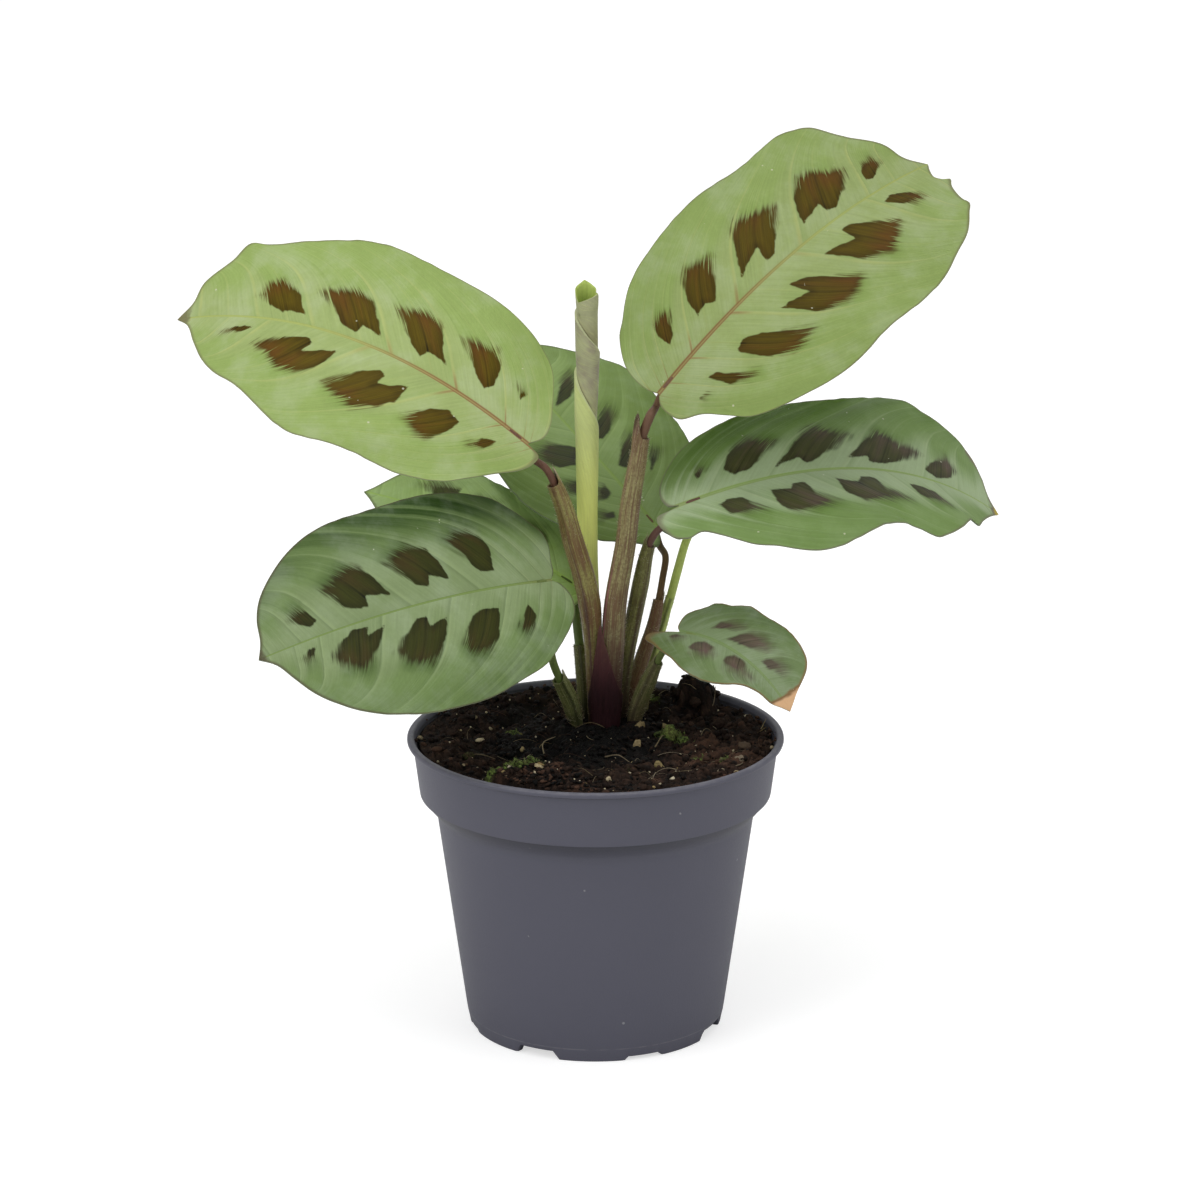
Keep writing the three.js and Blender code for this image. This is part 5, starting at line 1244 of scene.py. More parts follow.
# One half of a blade, as values on a grid. Rows leave the midrib at a slant and bend to the edge;
# columns go from the midrib (0) out to the edge (1) and lie closer together at both.
def halfBlade(leaf, side):
    v = bladeValues
    length = np.linalg.norm(leafAxes(leaf)[1])
    outline = np.array([(0, 0), *leaf["right" if side > 0 else "left"], (length, 0)], float)
    fine = smoothCurve(outline, np.linspace(0, len(outline) - 1, 24 * len(outline)))
    gone = np.concatenate([[0], np.cumsum(np.linalg.norm(np.diff(fine, axis=0), axis=1))])
    u = np.linspace(0, 1, v["rows"])
    edge = np.stack([np.interp(u * gone[-1], gone, fine[:, k]) for k in (0, 1)], 1)[:, None]
    x = np.linspace(0, 1, v["columns"])
    s = (0.3 * x + 0.35 * (1 - np.cos(math.pi * x)))[None, :]
    u = u[:, None]
    start = length * u * (0.15 + 0.85 * u)
    bendA, bendW = start + 0.25 * (edge[..., 0] - start), 0.62 * edge[..., 1]
    a = (1 - s) ** 2 * start + 2 * s * (1 - s) * bendA + s * s * edge[..., 0]
    w = 2 * s * (1 - s) * bendW + s * s * edge[..., 1]

    begins, out = veinStart(fine, length, a, w)
    nearest, feather, spans = np.full(a.shape, 9.0), np.zeros(a.shape), []
    for corners in leaf["blotchesRight" if side > 0 else "blotchesLeft"]:
        corners = np.asarray(corners, float)
        away = outlineDistance(a, w, corners)
        outward = corners @ v["blotchWay"]
        share = (a * v["blotchWay"][0] + w * v["blotchWay"][1] - outward.min()) / (np.ptp(outward) + 1e-6)
        feather = np.where(away < nearest, ease(share, 0.4, 0.95), feather)
        nearest = np.minimum(nearest, away)
        spans.append(np.percentile(begins[away < 0.3], (8, 92)))
    # each blotch has a main vein close along its base side; numbers between go evenly
    low, high = np.array(sorted(spans, key=sum)).T
    gap = np.concatenate([[low[0] * 0.5], low[1:] - high[:-1]])
    marks = np.stack([low - 0.22 * gap, (low + high) / 2], 1).reshape(-1)
    marks = np.concatenate([[0], np.maximum.accumulate(marks + 1e-4 * np.arange(len(marks))), [1.001]])
    numbers = np.concatenate([[-2.3], np.arange(len(marks) - 2) / 2, [len(low) + 1.4]])
    vein = np.interp(begins, marks, numbers)

    part = vein - np.floor(vein)
    quilt = np.sin(math.pi * part) ** 0.8 - 0.22 * np.exp(-((part - 0.5) / 0.07) ** 2)
    quilt = quilt * np.sin(math.pi * np.minimum(1, 1.1 * s)) * np.sin(math.pi * u)
    wave = np.sin(tau * leaf["waves"] * u + (0.6 if side > 0 else 2.4)) * s ** 3 * np.sin(math.pi * u)
    crinkle = 0.12 * softNoise(u * 50, s * 6 + 3 * side, 17) * s ** 2 * np.sin(math.pi * u)
    lift = (v["wave"] * wave * length / 60 + leafLooks[leaf["look"]]["quilt"] * (quilt - 0.5)
            + crinkle * min(1, length / 40))
    # this half's deep outer green, fading to the tip; part of it is painted shade on a half turned from the
    # light
    deep = leaf["deep"][0 if side > 0 else 1] * ease(out, 0.3, 1) * (1 - 0.5 * ease(u, 0.4, 0.9))
    return {"a": a, "w": w * side, "lift": lift, "u": u * np.ones_like(a), "s": s * np.ones_like(a),
            "out": out, "deep": deep, "vein": vein + (20 if side < 0 else 0), "blotch": nearest,
            "feather": feather, "edge": (1 - s) * np.maximum(edge[..., 1], 0.5),
            "along": np.clip(a / length, 0, 1)}


# A closed blade: both halves' face and underside and the narrow rim between them. The underside
# stands out along the midrib, and the face dips there a little.
def makeBlade(name, leaf):
    v = bladeValues
    length = np.linalg.norm(leafAxes(leaf)[1])
    points, quads, place, marks, sides, count = [], [], [], [], [], 0
    for side in (1, -1):
        h = halfBlade(leaf, side)
        middle = bladePoint(leaf, h["a"], h["w"], h["lift"])
        du = bladePoint(leaf, h["a"] + 0.2, h["w"]) - bladePoint(leaf, h["a"] - 0.2, h["w"])
        dw = bladePoint(leaf, h["a"], h["w"] + 0.2) - bladePoint(leaf, h["a"], h["w"] - 0.2)
        face = unit(np.cross(dw, du))
        thin = v["thickness"] / 2 * (1 - 0.45 * h["s"] ** 4)
        scale = min(1, length / 45) * (1 - 0.8 * h["along"]) * np.clip(8 * h["u"], 0, 1)
        rib = v["midribDepth"] * scale * np.exp(-(h["w"] / 0.45) ** 2)
        groove = 0.12 * scale * np.exp(-(h["w"] / 0.35) ** 2)
        upper = middle + face * (thin - groove)[..., None]
        lower = middle - face * (thin + rib)[..., None]
        for sheet, top in ((upper, 1.0), (lower, 0.0)):
            points.append(sheet.reshape(-1, 3))
            quads.append(gridQuads(*h["a"].shape, count)[:, :: (1 if (top > 0) == (side > 0) else -1)])
            place.append(np.stack([h["vein"], h["out"], h["deep"]], -1).reshape(-1, 3))
            marks.append(np.stack([h["blotch"], h["feather"], h["edge"]], -1).reshape(-1, 3))
            sides.append(np.stack([np.full_like(h["a"], top), np.abs(h["w"]), h["along"]], -1).reshape(-1, 3))
            count += sheet[..., 0].size
        last = np.arange(v["rows"]) * v["columns"] + v["columns"] - 1
        top, low = last + count - 2 * v["rows"] * v["columns"], last + count - v["rows"] * v["columns"]
        rim = np.stack([top[:-1], low[:-1], low[1:], top[1:]], 1)
        quads.append(rim[:, :: (1 if side < 0 else -1)])
    look = leafLooks[leaf["look"]]
    material, tree, shader = makeMaterial(name + "Leaf", IOR=1.42, Specular_IOR_Level=look["shine"])
    given = {key: tone(*value, leaf["lightness"]) if isinstance(value, tuple) else value
             for key, value in look.items() if key[0].isupper()}
    given["Scorched From"] = leaf.get("scorchedFrom", look["Scorched From"])
    pattern = useGroup(tree, leafPattern, given)
    mottle = useGroup(tree, mottleGroup,
                      {"Color": pattern["Color"], "Patch Size": 60.0, "Patch Amount": 0.03,
                       "Speck Color": tone(205, 205, 180), "Speck Size": 900.0, "Speck Share": 0.004})
    fill(shader, Base_Color=mottle["Color"], Roughness=pattern["Roughness"])
    linkBump(shader, pattern["Height"], 0.00012, 0.6)
    values = {"leafPlace": np.vstack(place), "leafMarks": np.vstack(marks), "leafSide": np.vstack(sides)}
    makeMesh(name + "Blade", np.vstack(points), np.vstack(quads), material, values, [name + "_blade"])


for leafName, leafValues in leaves.items():
    makeBlade(leafName, leafValues)
print("leaves: 8 blades done")


# Each stalk: centre line (x, y, z, radius) from its root; the first sheathed points are the sheath, whose
# free tip of tipLength stands on the side tipAngle (degrees from +X); where the seam runs; colours.
stalks = {
    "upper_left": {
        "path": [(-0.1, 9.4, 39, 0.8), (-0.2, 9.4, 50.3, 1.15), (-0.45, 9.4, 60.5, 1.45),
            (-0.95, 9.2, 66.5, 1.82), (-1.9, 8.9, 71.5, 1.8), (-3.7, 8, 78, 1.7), (-4.8, 7.5, 82.5, 1.5),
            (-6.5, 7, 87.3, 1.3), (-7.9, 6.6, 90, 0.6)],
        "sheathed": 8, "tipAngle": 20, "tipLength": 2.6, "seam": 250, "slot": "stalk_purple",
        "look": {"Sheath": (112, 86, 54), "Streak": (150, 150, 86), "Foot": (70, 42, 38),
            "Thin Stalk": (106, 74, 58), "Tip": (176, 166, 138), "Seam": (88, 60, 56), "Streak Amount": 0.8,
            "Foot Height": 10.5},
    },
    "upper_right": {
        "path": [(2.6, 9.6, 39, 0.8), (2.5, 9.6, 47.6, 1.3), (2.5, 9.5, 53, 1.75), (2.75, 9.3, 60.6, 1.93),
            (3.2, 9.3, 67.3, 1.82), (4.8, 9.2, 77.1, 1.68), (5.55, 9.2, 83.9, 1.62), (6.65, 9, 90.4, 1.45),
            (7.4, 9, 94.4, 1.2), (8.7, 9, 98, 0.74)],
        "sheathed": 9, "tipAngle": 190, "tipLength": 3.6, "tipLean": 0.6, "seam": 215,
        "slot": "stalk_purple",
        "look": {"Sheath": (110, 86, 60), "Streak": (158, 154, 104), "Foot": (66, 34, 38),
            "Thin Stalk": (108, 80, 60), "Tip": (76, 60, 42), "Seam": (160, 104, 112), "Streak Amount": 0.8,
            "Foot Height": 21.0},
    },
    "right": {
        "path": [(4.4, 12.4, 39, 0.8), (4.2, 12.4, 50, 1.15), (4.9, 12.6, 56.7, 1.25), (6, 12.3, 63, 1.3),
            (7.2, 11.5, 69.5, 1.35), (8.5, 10.6, 76.2, 1.05), (9.8, 10.1, 78.6, 0.6)],
        "sheathed": 6, "tipAngle": 180, "tipLength": 1.6, "seam": 300, "slot": "stalk_olive",
        "look": {"Sheath": (92, 86, 48), "Streak": (142, 146, 84), "Foot": (66, 50, 38),
            "Thin Stalk": (104, 74, 64), "Tip": (130, 126, 92), "Seam": (84, 70, 52), "Streak Amount": 0.7,
            "Foot Height": 14.0},
    },
    "lower_left": {
        "path": [(-3.1, 8.3, 39, 0.8), (-3.1, 8.3, 47.2, 1.05), (-3.6, 8.2, 49, 1.3), (-4.4, 8, 51.6, 1.4),
            (-5.7, 7, 54.9, 1.3), (-6.8, 5.8, 58.2, 0.65), (-7.4, 4.6, 63, 0.6), (-7.4, 3.4, 68.6, 0.6)],
        "sheathed": 5, "tipAngle": 0, "tipLength": 1.6, "seam": 290, "slot": "stalk_green",
        "look": {"Sheath": (84, 88, 44), "Streak": (146, 150, 100), "Foot": (58, 60, 32),
            "Thin Stalk": (104, 120, 62), "Tip": (128, 128, 94), "Seam": (60, 64, 34), "Streak Amount": 0.6,
            "Foot Height": 8.0},
    },
    "small_right": {
        "path": [(6.3, 9.8, 39, 0.8), (6.3, 9.8, 47.4, 1.25), (7.1, 9.6, 50.4, 1.4), (8.4, 9, 53.8, 1.35),
            (9.9, 8, 57.5, 0.95), (11.4, 6.9, 60.2, 0.55)],
        "sheathed": 5, "tipAngle": 160, "tipLength": 1, "seam": 250, "slot": "stalk_green",
        "look": {"Sheath": (88, 94, 46), "Streak": (148, 138, 106), "Foot": (96, 82, 56),
            "Thin Stalk": (112, 126, 70), "Tip": (136, 130, 100), "Seam": (70, 62, 42),
            "Streak Amount": 0.65, "Foot Height": 10.0},
    },
    "back_centre": {
        "path": [(5.6, 15, 39, 0.8), (5.7, 15, 49, 1.1), (7.3, 15.2, 55.1, 1.25), (9.3, 15.7, 61.2, 1.1),
            (10.2, 16.5, 65.3, 0.9), (10.8, 17.5, 68.5, 0.55), (11.3, 19.2, 71.8, 0.55)],
        "sheathed": 5, "tipAngle": 0, "tipLength": 1.4, "seam": 200, "slot": "stalk_olive",
        "look": {"Sheath": (110, 78, 54), "Streak": (138, 128, 84), "Foot": (88, 64, 46),
            "Thin Stalk": (104, 80, 48), "Tip": (120, 100, 70), "Seam": (90, 92, 56), "Streak Amount": 0.5,
            "Foot Height": 11.0},
    },
    "back_left": {
        "path": [(-1.9, 13, 39, 0.8), (-1.9, 13, 49.5, 1.05), (-2.2, 13.4, 54.4, 1.1), (-2.6, 14, 58.5, 1),
            (-3, 14.8, 62.5, 0.75), (-3, 15.6, 65.2, 0.6)],
        "sheathed": 4, "tipAngle": 90, "tipLength": 0.6, "seam": 270, "slot": "stalk_green",
        "look": {"Sheath": (82, 84, 44), "Streak": (128, 130, 74), "Foot": (60, 58, 34),
            "Thin Stalk": (86, 102, 48), "Tip": (110, 110, 70), "Seam": (60, 60, 34), "Streak Amount": 0.5,
            "Foot Height": 9.0},
    },
    "back_right": {
        "path": [(7.8, 17.3, 39, 0.8), (7.8, 17.3, 48.7, 0.95), (9.6, 17.8, 56.7, 0.95),
            (12.1, 17.2, 65.6, 0.8), (13.2, 16.4, 70.2, 0.7), (14.6, 16, 75.4, 0.65)],
        "sheathed": 4, "tipAngle": 0, "tipLength": 0.6, "seam": 270, "slot": "stalk_green",
        # its pale greens are brighter than the stalk itself: painted light for the light shining through it
        "look": {"Sheath": (182, 200, 108), "Streak": (200, 212, 128), "Foot": (120, 112, 68),
            "Thin Stalk": (188, 206, 108), "Tip": (180, 190, 120), "Seam": (120, 130, 76),
            "Streak Amount": 0.6, "Foot Height": 12.0},
    },
}
stalkValues = {"sides": 56, "wall": 0.2, "overlap": 0.1, "sink": 1.8}
hairValues = {"perRow": 11, "lowest": 47.5, "shortest": 0.2, "longest": 0.6, "thickness": 0.016}
hairRandom = np.random.default_rng(77)
hairPaths = []


# Short hairs on a sheath: each starts on its surface, leans outward and bends up along the stalk.
def growHairs(surface, centre, tangent):
    v = hairValues
    rows = hairRandom.integers(0, len(surface), v["perRow"] * len(surface))
    columns = hairRandom.integers(0, surface.shape[1], len(rows))
    foot = surface[rows, columns]
    keep = foot[:, 2] > v["lowest"]
    foot, out, up = foot[keep], unit(foot - centre[rows])[keep], tangent[rows][keep]
    out = unit(out + 0.25 * hairRandom.normal(size=out.shape))
    length = hairRandom.uniform(v["shortest"], v["longest"], len(foot))[:, None, None]
    t = np.linspace(0, 1, 3)[None, :, None]
    hairPaths.append(foot[:, None]
                     + length * (0.75 * t * out[:, None] + (0.2 * t + 0.45 * t ** 2) * up[:, None]))


# All the hairs as one piece of thin three-sided tubes.
def makeHairs():
    paths = np.concatenate(hairPaths)
    radii = hairValues["thickness"] * np.array([1, 0.7, 0.2]) * np.ones((len(paths), 1))
    points, quads, _ = tubePoints(paths, radii, 3)
    material, tree, shader = makeMaterial("sheathHair", IOR=1.45, Roughness=0.5, Specular_IOR_Level=0.3)
    patches = noiseValue(objectPlace(tree), 700.0, 2.0)
    fill(shader, Base_Color=mixColour(remap(patches, 0.4, 0.6), tone(206, 200, 172), tone(150, 128, 96)))
    makeMesh("sheathHairs", points, quads, material)


# A material of the stalk pattern with one stalk's colours.
def stalkMaterial(name, look):
    material, tree, shader = makeMaterial(name, IOR=1.42, Specular_IOR_Level=0.4)
    pattern = useGroup(tree, stalkPattern,
                       {key: tone(*value) if isinstance(value, tuple) else value
                        for key, value in look.items()})
    fill(shader, Base_Color=pattern["Color"], Roughness=pattern["Roughness"])
    linkBump(shader, pattern["Height"], 0.00012, 0.7)
    return material


# A sheathed stalk, as one closed tube of rings along its centre line. The sheath's section is a spiral
# with one step, its seam; its last rings are drawn up into the free tip; there the tube turns in
# over the sheath's rim, goes down inside it, and comes up again as the thin stalk.
def makeStalk(name, stalk, leaf):
    v = stalkValues
    under = [tuple(bladePoint(leaf, a, 0, lift)) + (r,)
             for a, lift, r in ((-1.6, -2.6, 0.58), (-0.2, -1.2, 0.52), (1.3, -0.42, 0.48),
                                (3.2, -0.22, 0.3))]
    path = np.array(stalk["path"] + under, float)
    end = stalk["sheathed"] - 1
    # stations: position on the path, radius, share of the tip's rise, drop below the rim, on the sheath
    # or not
    sheath = np.linspace(0, end, 34 * end // 2)
    rise = ease(sheath, end - 0.8, end) ** 1.5
    rows = [np.stack([sheath, np.interp(sheath, np.arange(len(path)), path[:, 3]), rise, 0 * sheath,
                      1 + 0 * sheath], 1)]
    rimRadius, thin = path[end, 3], path[end + 1, 3]
    rows.append([[end, rimRadius - 0.5 * v["wall"], 1.02, 0, 1], [end, rimRadius - v["wall"], 0.98, 0, 1],
                 [end, rimRadius - v["wall"] - 0.02, 0.5, 0.3, 0.6],
                 [end, max(thin + 0.05, rimRadius - 0.5), 0, 0.8, 0.3],
                 [end, thin + 0.02, 0, v["sink"], 0]])
    stem = np.linspace(end, len(path) - 1, 80)
    stemRadius = np.interp(stem, np.arange(end + 1, len(path)), path[end + 1:, 3])
    rows.append(np.stack([stem, stemRadius, 0 * stem,
                          np.interp(stem, [end, end + 0.6], [v["sink"] * 0.8, 0]), 0 * stem], 1))
    rows = np.vstack(rows)
    position, radius, rise, drop, onSheath = rows.T
    step = 0.02
    centre = smoothCurve(path[:, :3], position)
    tangent = unit(smoothCurve(path[:, :3], np.minimum(position + step, len(path) - 1))
                   - smoothCurve(path[:, :3], np.maximum(position - step, 0)))
    tipSide = np.array([math.cos(math.radians(stalk["tipAngle"])), math.sin(math.radians(stalk["tipAngle"])),
                        0])
    across = unit(tipSide - tangent * (tangent @ tipSide)[:, None])
    other = np.cross(tangent, across)
    share = np.linspace(0, 1, v["sides"] + 1)[None, :]
    seam = math.radians(stalk["seam"] - stalk["tipAngle"])
    angle = seam + tau * share
    spiral = 1 + v["overlap"] * (0.5 - share) * onSheath[:, None]
    spiral[:, -1] = spiral[:, 0]  # the step back to the start closes the ring
    spiral[:, -2] = 1 - v["overlap"] * 0.5 * onSheath
    angle = (np.where(share > 1 - 1.5 / v["sides"], np.where(share == 1, seam, seam - 0.02), angle)
             * np.ones_like(spiral))
    facing = np.clip(np.cos(angle), 0, 1) ** 2.5
    up = stalk["tipLength"] * rise[:, None] * facing - drop[:, None]
    # the tip bends in or out
    lean = 1 + stalk.get("tipLean", -0.25) * rise[:, None] * facing * (onSheath[:, None] > 0.5)
    reach = radius[:, None] * spiral * lean
    points = (centre[:, None] + across[:, None] * (np.cos(angle) * reach)[..., None]
              + other[:, None] * (np.sin(angle) * reach)[..., None] + tangent[:, None] * up[..., None])
    shape = reach.shape
    tipness = np.where(onSheath[:, None] > 0.5,
                       ease(up, 0.25 * stalk["tipLength"], 0.95 * stalk["tipLength"]), 0)
    height = points[..., 2] - points[0, 0, 2]
    toSeam = np.minimum(share, 1 - share) * tau * radius[:, None]
    place = np.stack([share * np.ones(shape), height, tipness], -1)
    zones = np.stack([np.clip(onSheath, 0, 1)[:, None] * np.ones(shape), height / height.max(),
                      toSeam + 9 * (1 - onSheath[:, None])], -1)
    growHairs(points[onSheath == 1][:, :-2], centre[onSheath == 1], tangent[onSheath == 1])
    first, last = points[:1].mean(1, keepdims=True), points[-1:].mean(1, keepdims=True)
    points = np.vstack([np.repeat(first, shape[1], 1), points, np.repeat(last, shape[1], 1)])
    place = np.vstack([place[:1], place, place[-1:]])
    zones = np.vstack([zones[:1], zones, zones[-1:]])
    material = stalkMaterial(name + "Stalk", stalk["look"])
    values = {"stalkPlace": place, "stalkZones": zones}
    makeMesh(name + "Stalk", points, gridQuads(*points.shape[:2]), material, values, [name + "_stalk"])


crownValues = {
    "middle": (1.55, 9.4), "low": 44.5, "wall": 0.1, "rows": 60, "sides": 96, "roundness": 2.4,
    # height, half width, half depth
    "sizes": [(44.5, 2.2, 1.7), (50, 2.8, 1.95), (55, 3.0, 2.1), (61, 3.4, 2.15)],
    # its torn rim: degrees round from +X, height
    "rim": [(-180, 51), (-150, 52.5), (-128, 56), (-112, 60), (-101, 64), (-90, 60.5), (-70, 56), (-40, 53),
            (0, 51.5), (70, 51), (130, 51), (180, 51)],
    "look": {"Sheath": (88, 50, 46), "Streak": (108, 74, 60), "Foot": (66, 30, 36),
             "Thin Stalk": (60, 44, 40), "Tip": (110, 74, 66), "Seam": (80, 44, 46), "Streak Amount": 0.7,
             "Foot Height": 15.0},
}


# Old sheath scales that hold the two front stalks together: rings of a rounded oblong section
# (x/a)^n + (y/b)^n = 1, drawn up to a torn rim, turned in over it and closed inside.
def makeCrownSheath():
    v = crownValues
    turn = np.linspace(-math.pi, math.pi, v["sides"] + 1)
    rim = smoothCurve(v["rim"], np.linspace(0, len(v["rim"]) - 1, 200))
    rim = (np.interp(np.degrees(turn), rim[:, 0], rim[:, 1]) + 0.25 * softNoise(turn * 9, 0 * turn, 5)
           * np.abs(np.sin(turn / 2)))
    t = np.linspace(0, 1, v["rows"])[:, None]
    up = np.vstack([t, 1.004 + 0 * t[:1], 1 - 0.25 * t[1:8:2]])
    thin = np.vstack([0 * t, 0.5 + 0 * t[:1], 1 + 0 * t[1:8:2]]) * v["wall"]
    height = v["low"] + (rim - v["low"]) * up
    sizes = np.array(v["sizes"])
    wide, deep = (np.interp(height, sizes[:, 0], sizes[:, k]) - thin for k in (1, 2))
    power = 2 / v["roundness"]
    x = v["middle"][0] + wide * np.sign(np.cos(turn)) * np.abs(np.cos(turn)) ** power
    y = v["middle"][1] + deep * np.sign(np.sin(turn)) * np.abs(np.sin(turn)) ** power
    points = np.stack([x, y, height], -1)
    ends = [np.full((1, len(turn), 3), (*v["middle"], z)) for z in (v["low"], v["low"] + 4)]
    points = np.concatenate([ends[0], points, ends[1]])
    points[:, -1] = points[:, 0]
    up = np.vstack([up[:1], up, up[-1:]])
    place = np.stack([(turn / tau + 0.5) * np.ones_like(up), points[..., 2] - v["low"],
                      ease(up, 0.96, 1.0) * 0.5 * np.ones_like(turn)], -1)
    zones = np.stack([np.ones(points.shape[:2]), up * np.ones_like(turn), np.full(points.shape[:2], 9.0)], -1)
    values = {"stalkPlace": place, "stalkZones": zones}
    makeMesh("crownSheath", points, gridQuads(*points.shape[:2]), stalkMaterial("crownSheath", v["look"]),
             values)


for leafName, stalk in stalks.items():
    makeStalk(leafName, stalk, leaves[leafName])
makeCrownSheath()
makeHairs()
print("stalks: 8 sheathed stalks and the sheath at their foot done")


rolledValues = {
    "path": [(1.5, 13.2, 39, 0.8), (1.0, 13.1, 50, 0.95), (-0.1, 13.2, 60, 1.15), (-0.95, 13.4, 69.6, 1.45),
             (-1.3, 13.5, 76.2, 1.62), (-1.4, 13.7, 84, 1.7), (-1.4, 13.8, 90, 1.76),
             (-1.45, 13.9, 96, 1.85), (-1.35, 14, 101, 1.88), (-1.3, 14, 108, 1.86), (-1.35, 14, 112, 1.78),
             (-1.4, 14, 116.4, 1.74), (-1.45, 14, 118.2, 1.76)],
    "sides": 120, "rows": 420, "overlap": 0.2,
    # where the sheet's outer edge is: height, degrees round from +X
    "edge": [(39, 470), (82, 450), (94.3, 360), (99.5, 270), (104.1, 180), (106.6, 0), (110.2, -90),
             (113.9, -180), (116, -330), (119, -400)],
    # the mouth is cut aslant: degrees round, height
    "mouth": [(-90, -2.3), (-30, -1.6), (0, -1.1), (50, -0.6), (100, 0.2), (125, -0.3), (180, -1.0),
              (225, -2.9), (270, -2.3)],
    # the low green is brighter than the leaf itself: painted light for the light shining through the roll
    "green": (226, 236, 132), "paleGreen": (190, 200, 130), "lilac": (142, 134, 116),
    "cream": (166, 168, 130), "rose": (146, 144, 106), "inside": (168, 186, 96),
    "deepInside": (112, 136, 44), "line": (98, 92, 62), "marginHighlight": (186, 192, 146),
}


# The new leaf, still rolled. Its section is a spiral with one step; columns run from the sheet's
# outer edge right round to it again, and the edge winds up the roll. The mouth is an open funnel.
def makeRolledLeaf():
    v = rolledValues
    path = np.array(v["path"], float)
    position = np.linspace(0, len(path) - 1, v["rows"])
    centre = smoothCurve(path[:, :3], position)
    radius = np.interp(position, np.arange(len(path)), path[:, 3])[:, None]
    share = np.concatenate([np.linspace(0, 1, v["sides"]), [1.0]])[None, :]
    edge = np.array(v["edge"])
    edgeAngle = np.interp(centre[:, 2], edge[:, 0], edge[:, 1])
    edgeAngle = np.convolve(np.pad(edgeAngle, 5, mode="edge"), np.ones(11) / 11, "valid")[:, None]
    unrolled = edgeAngle / 360 + share  # turns round from +X, which tell the layers apart
    angle = unrolled * tau
    reach = radius * (1 + v["overlap"] * (share - 0.5) * ease(centre[:, 2:], 60, 90))
    reach[:, -1] = reach[:, 0]  # the step, as thick as the sheet that ends there
    mouth = np.array(v["mouth"])
    cut = (np.interp((np.degrees(angle) + 90) % 360 - 90, mouth[:, 0], mouth[:, 1])
           * ease(centre[:, 2:], 111, 118.2))
    points = np.stack([centre[:, :1] + reach * np.cos(angle), centre[:, 1:2] + reach * np.sin(angle),
                       centre[:, 2:] + cut], -1)
    # over the rim and down inside: share of the radius, depth, share of the slant
    inner = [(0.96, 0.05, 1), (0.9, 0.0, 1), (0.86, -0.6, 1), (0.8, -2, 0.8), (0.7, -4, 0.5),
             (0.4, -5.5, 0.2), (0, -6, 0)]
    top, middle = points[-1], centre[-1]
    funnel = [np.stack([middle[0] + (top[:, 0] - middle[0]) * k, middle[1] + (top[:, 1] - middle[1]) * k,
                        middle[2] + cut[-1] * slant + d], -1) for k, d, slant in inner]
    points = np.concatenate([centre[:1, None] * np.ones((1, len(top), 1)), points, np.array(funnel)])
    unrolled = np.vstack([unrolled[:1], unrolled, np.repeat(unrolled[-1:], len(inner), 0)])
    inside = np.zeros(points.shape[:2])
    inside[-len(inner):] = np.array([0.5, 1, 1, 1, 1.5, 2, 2])[:, None]
    marks = np.stack([unrolled, points[..., 2], inside], -1)
    place = np.stack([np.vstack([share] * len(points)), points[..., 2] - 39, inside], -1)

    material, tree, shader = makeMaterial("rolledLeaf", IOR=1.42, Specular_IOR_Level=0.25)
    turned, height, isInside = splitVector(surfaceValue(tree, "rollMarks"))
    around, along, _ = splitVector(surfaceValue(tree, "stalkPlace"))
    fibre = noiseValue(joinVector(around * 30.0, along * 0.12), 1.0, 3.0, 0.6, "2D")
    # veins lie aslant on the roll
    slanted = joinVector(along * 0.35 + around * 5.0, around * 2.0)
    veins = noiseValue(slanted, 6.0, 2.0, 0.5, "2D")
    cloud = noiseValue(objectPlace(tree), 240.0, 3.0)
    # the lower roll is brightened green, painted light shining through it
    low = mixColour(remap(height, 80.0, 97.0), tone(*v["green"]), tone(*v["paleGreen"]))
    wrap = mixColour(remap(cloud, 0.35, 0.65), tone(*v["lilac"]), tone(*v["cream"]))
    wrap = mixColour(remap(height, 104.0, 97.0, 0.0, 0.35), wrap, tone(*v["paleGreen"]))
    upper = mixColour(remap(height, 109.0, 114.0), tone(*v["rose"]), tone(*v["cream"]))
    colour = mixColour(remap(turned, 0.0, 0.5), upper, wrap)
    colour = mixColour(remap(turned, 1.0, 1.45), colour, low)
    colour = mixColour(remap(veins, 0.5, 0.7) * 0.1, colour, tone(*v["green"]))
    wound = remap(height, 84.0, 90.0)
    shadow = remap(around, 0.0, 0.035, 1.0, 0.0) * wound * 0.8
    colour = mixColour(shadow, colour, tone(*v["line"]))
    # a pale line along the sheet's free edge: painted highlight
    marginHighlight = remap(around, 0.975, 0.985) * wound * 0.7
    colour = mixColour(marginHighlight, colour, tone(*v["marginHighlight"]))
    # darker green deeper down the funnel: painted shade
    within = mixColour(remap(isInside, 1.0, 1.8), tone(*v["inside"]), tone(*v["deepInside"]))
    colour = mixColour(remap(isInside, 0.2, 0.7), colour, within)
    shade = (fibre - 0.5) * 0.3 + 1.0
    colour = scaleColour(colour, shade)
    fill(shader, Base_Color=colour, Roughness=fibre * 0.2 + 0.38)
    linkBump(shader, fibre + veins * 1.5, 0.0001, 0.6)
    values = {"rollMarks": marks, "stalkPlace": place}
    makeMesh("rolledNewLeaf", points, gridQuads(*points.shape[:2]), material, values, ["rolled_leaf"])


makeRolledLeaf()
print("rolled leaf: done")


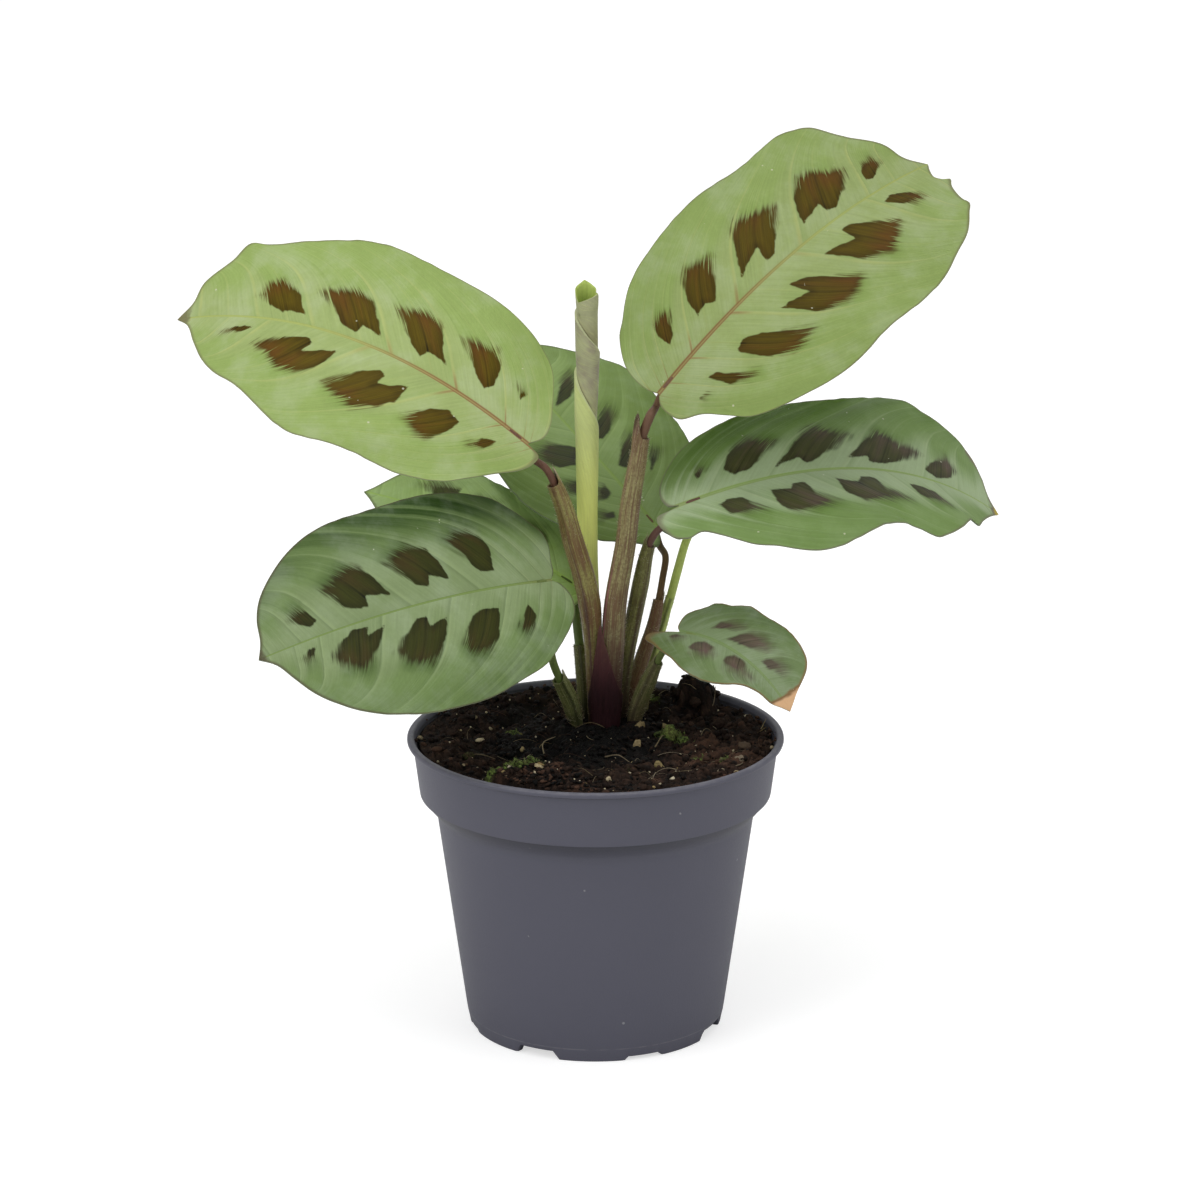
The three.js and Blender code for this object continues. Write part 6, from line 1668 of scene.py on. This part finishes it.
studioValues = {
    "floorSize": 3.0, "floorGlow": 0.62, "floorShare": 0.62, "world": 0.4,
    # soft lights: power, size, place and turn about X, Y and Z
    "lights": {
        "leftLight": (4.8, 0.8, (-0.8, -0.55, 0.7), (55, 0, -55)),
        "rightLight": (2.3, 0.8, (0.85, -0.5, 0.6), (58, 0, 60)),
        "topLight": (5.0, 0.9, (0.0, -0.1, 1.1), (5, 0, 0)),
        "backLight": (1.6, 1.0, (0.1, 0.9, 0.8), (-52, 0, 0))},
    # lens and sensor width in millimetres, place in metres, tilt up from straight down
    "camera": {"lens": 150.6, "sensor": 36, "place": (0.00072, -0.7601, 0.2968), "tilt": 73.4},
}


# A pale floor, an even white surround, four soft lights and the camera.
def makeStudio():
    v = studioValues
    scene = bpy.context.scene
    scene.view_settings.view_transform = "Standard"
    edge = v["floorSize"]
    mesh = bpy.data.meshes.new("floor")
    mesh.from_pydata([(-edge, -edge, 0), (edge, -edge, 0), (edge, edge, 0), (-edge, edge, 0)], [],
                     [(0, 1, 2, 3)])
    material, tree, shader = makeMaterial("paleFloor", Specular_IOR_Level=0.1, Roughness=0.9)
    soft = noiseValue(objectPlace(tree), 3.0, 2.0)
    white = mixColour(soft, tone(244, 244, 244), tone(248, 248, 248))
    # seen by the camera it is part paint and part glow, so that it comes out white with a faint shadow
    direct = pick("ShaderNodeLightPath", "Is Camera Ray", {}, tree)
    part = remap(direct, 0.0, 1.0, 1.0, v["floorShare"])
    colour = scaleColour(white, part)
    fill(shader, Base_Color=colour)
    seen = direct * v["floorGlow"]
    shader.inputs["Emission Color"].default_value = (1, 1, 1, 1)
    fill(shader, Emission_Strength=seen)
    mesh.materials.append(material)
    floor = bpy.data.objects.new("floor", mesh)
    scene.collection.objects.link(floor)

    world = bpy.data.worlds.new("studio")
    scene.world = world
    world.use_nodes = True
    world.node_tree.nodes["Background"].inputs["Color"].default_value = (1, 1, 1, 1)
    # the surround is white to the camera and dimmer as a light
    direct = pick("ShaderNodeLightPath", "Is Camera Ray", {}, world.node_tree)
    fill(world.node_tree.nodes["Background"], Strength=remap(direct, 0.0, 1.0, v["world"], 1.0))
    for name, (power, size, place, turn) in v["lights"].items():
        light = bpy.data.lights.new(name, "AREA")
        light.energy, light.size = power, size
        lamp = bpy.data.objects.new(name, light)
        lamp.location = place
        lamp.rotation_euler = [math.radians(d) for d in turn]
        scene.collection.objects.link(lamp)

    camera = bpy.data.cameras.new("camera")
    camera.lens, camera.sensor_width = v["camera"]["lens"], v["camera"]["sensor"]
    view = bpy.data.objects.new("camera", camera)
    view.location = v["camera"]["place"]
    view.rotation_euler = (math.radians(v["camera"]["tilt"]), 0, 0)
    scene.collection.objects.link(view)
    scene.camera = view


makeStudio()
print("studio: floor, lights and camera done")
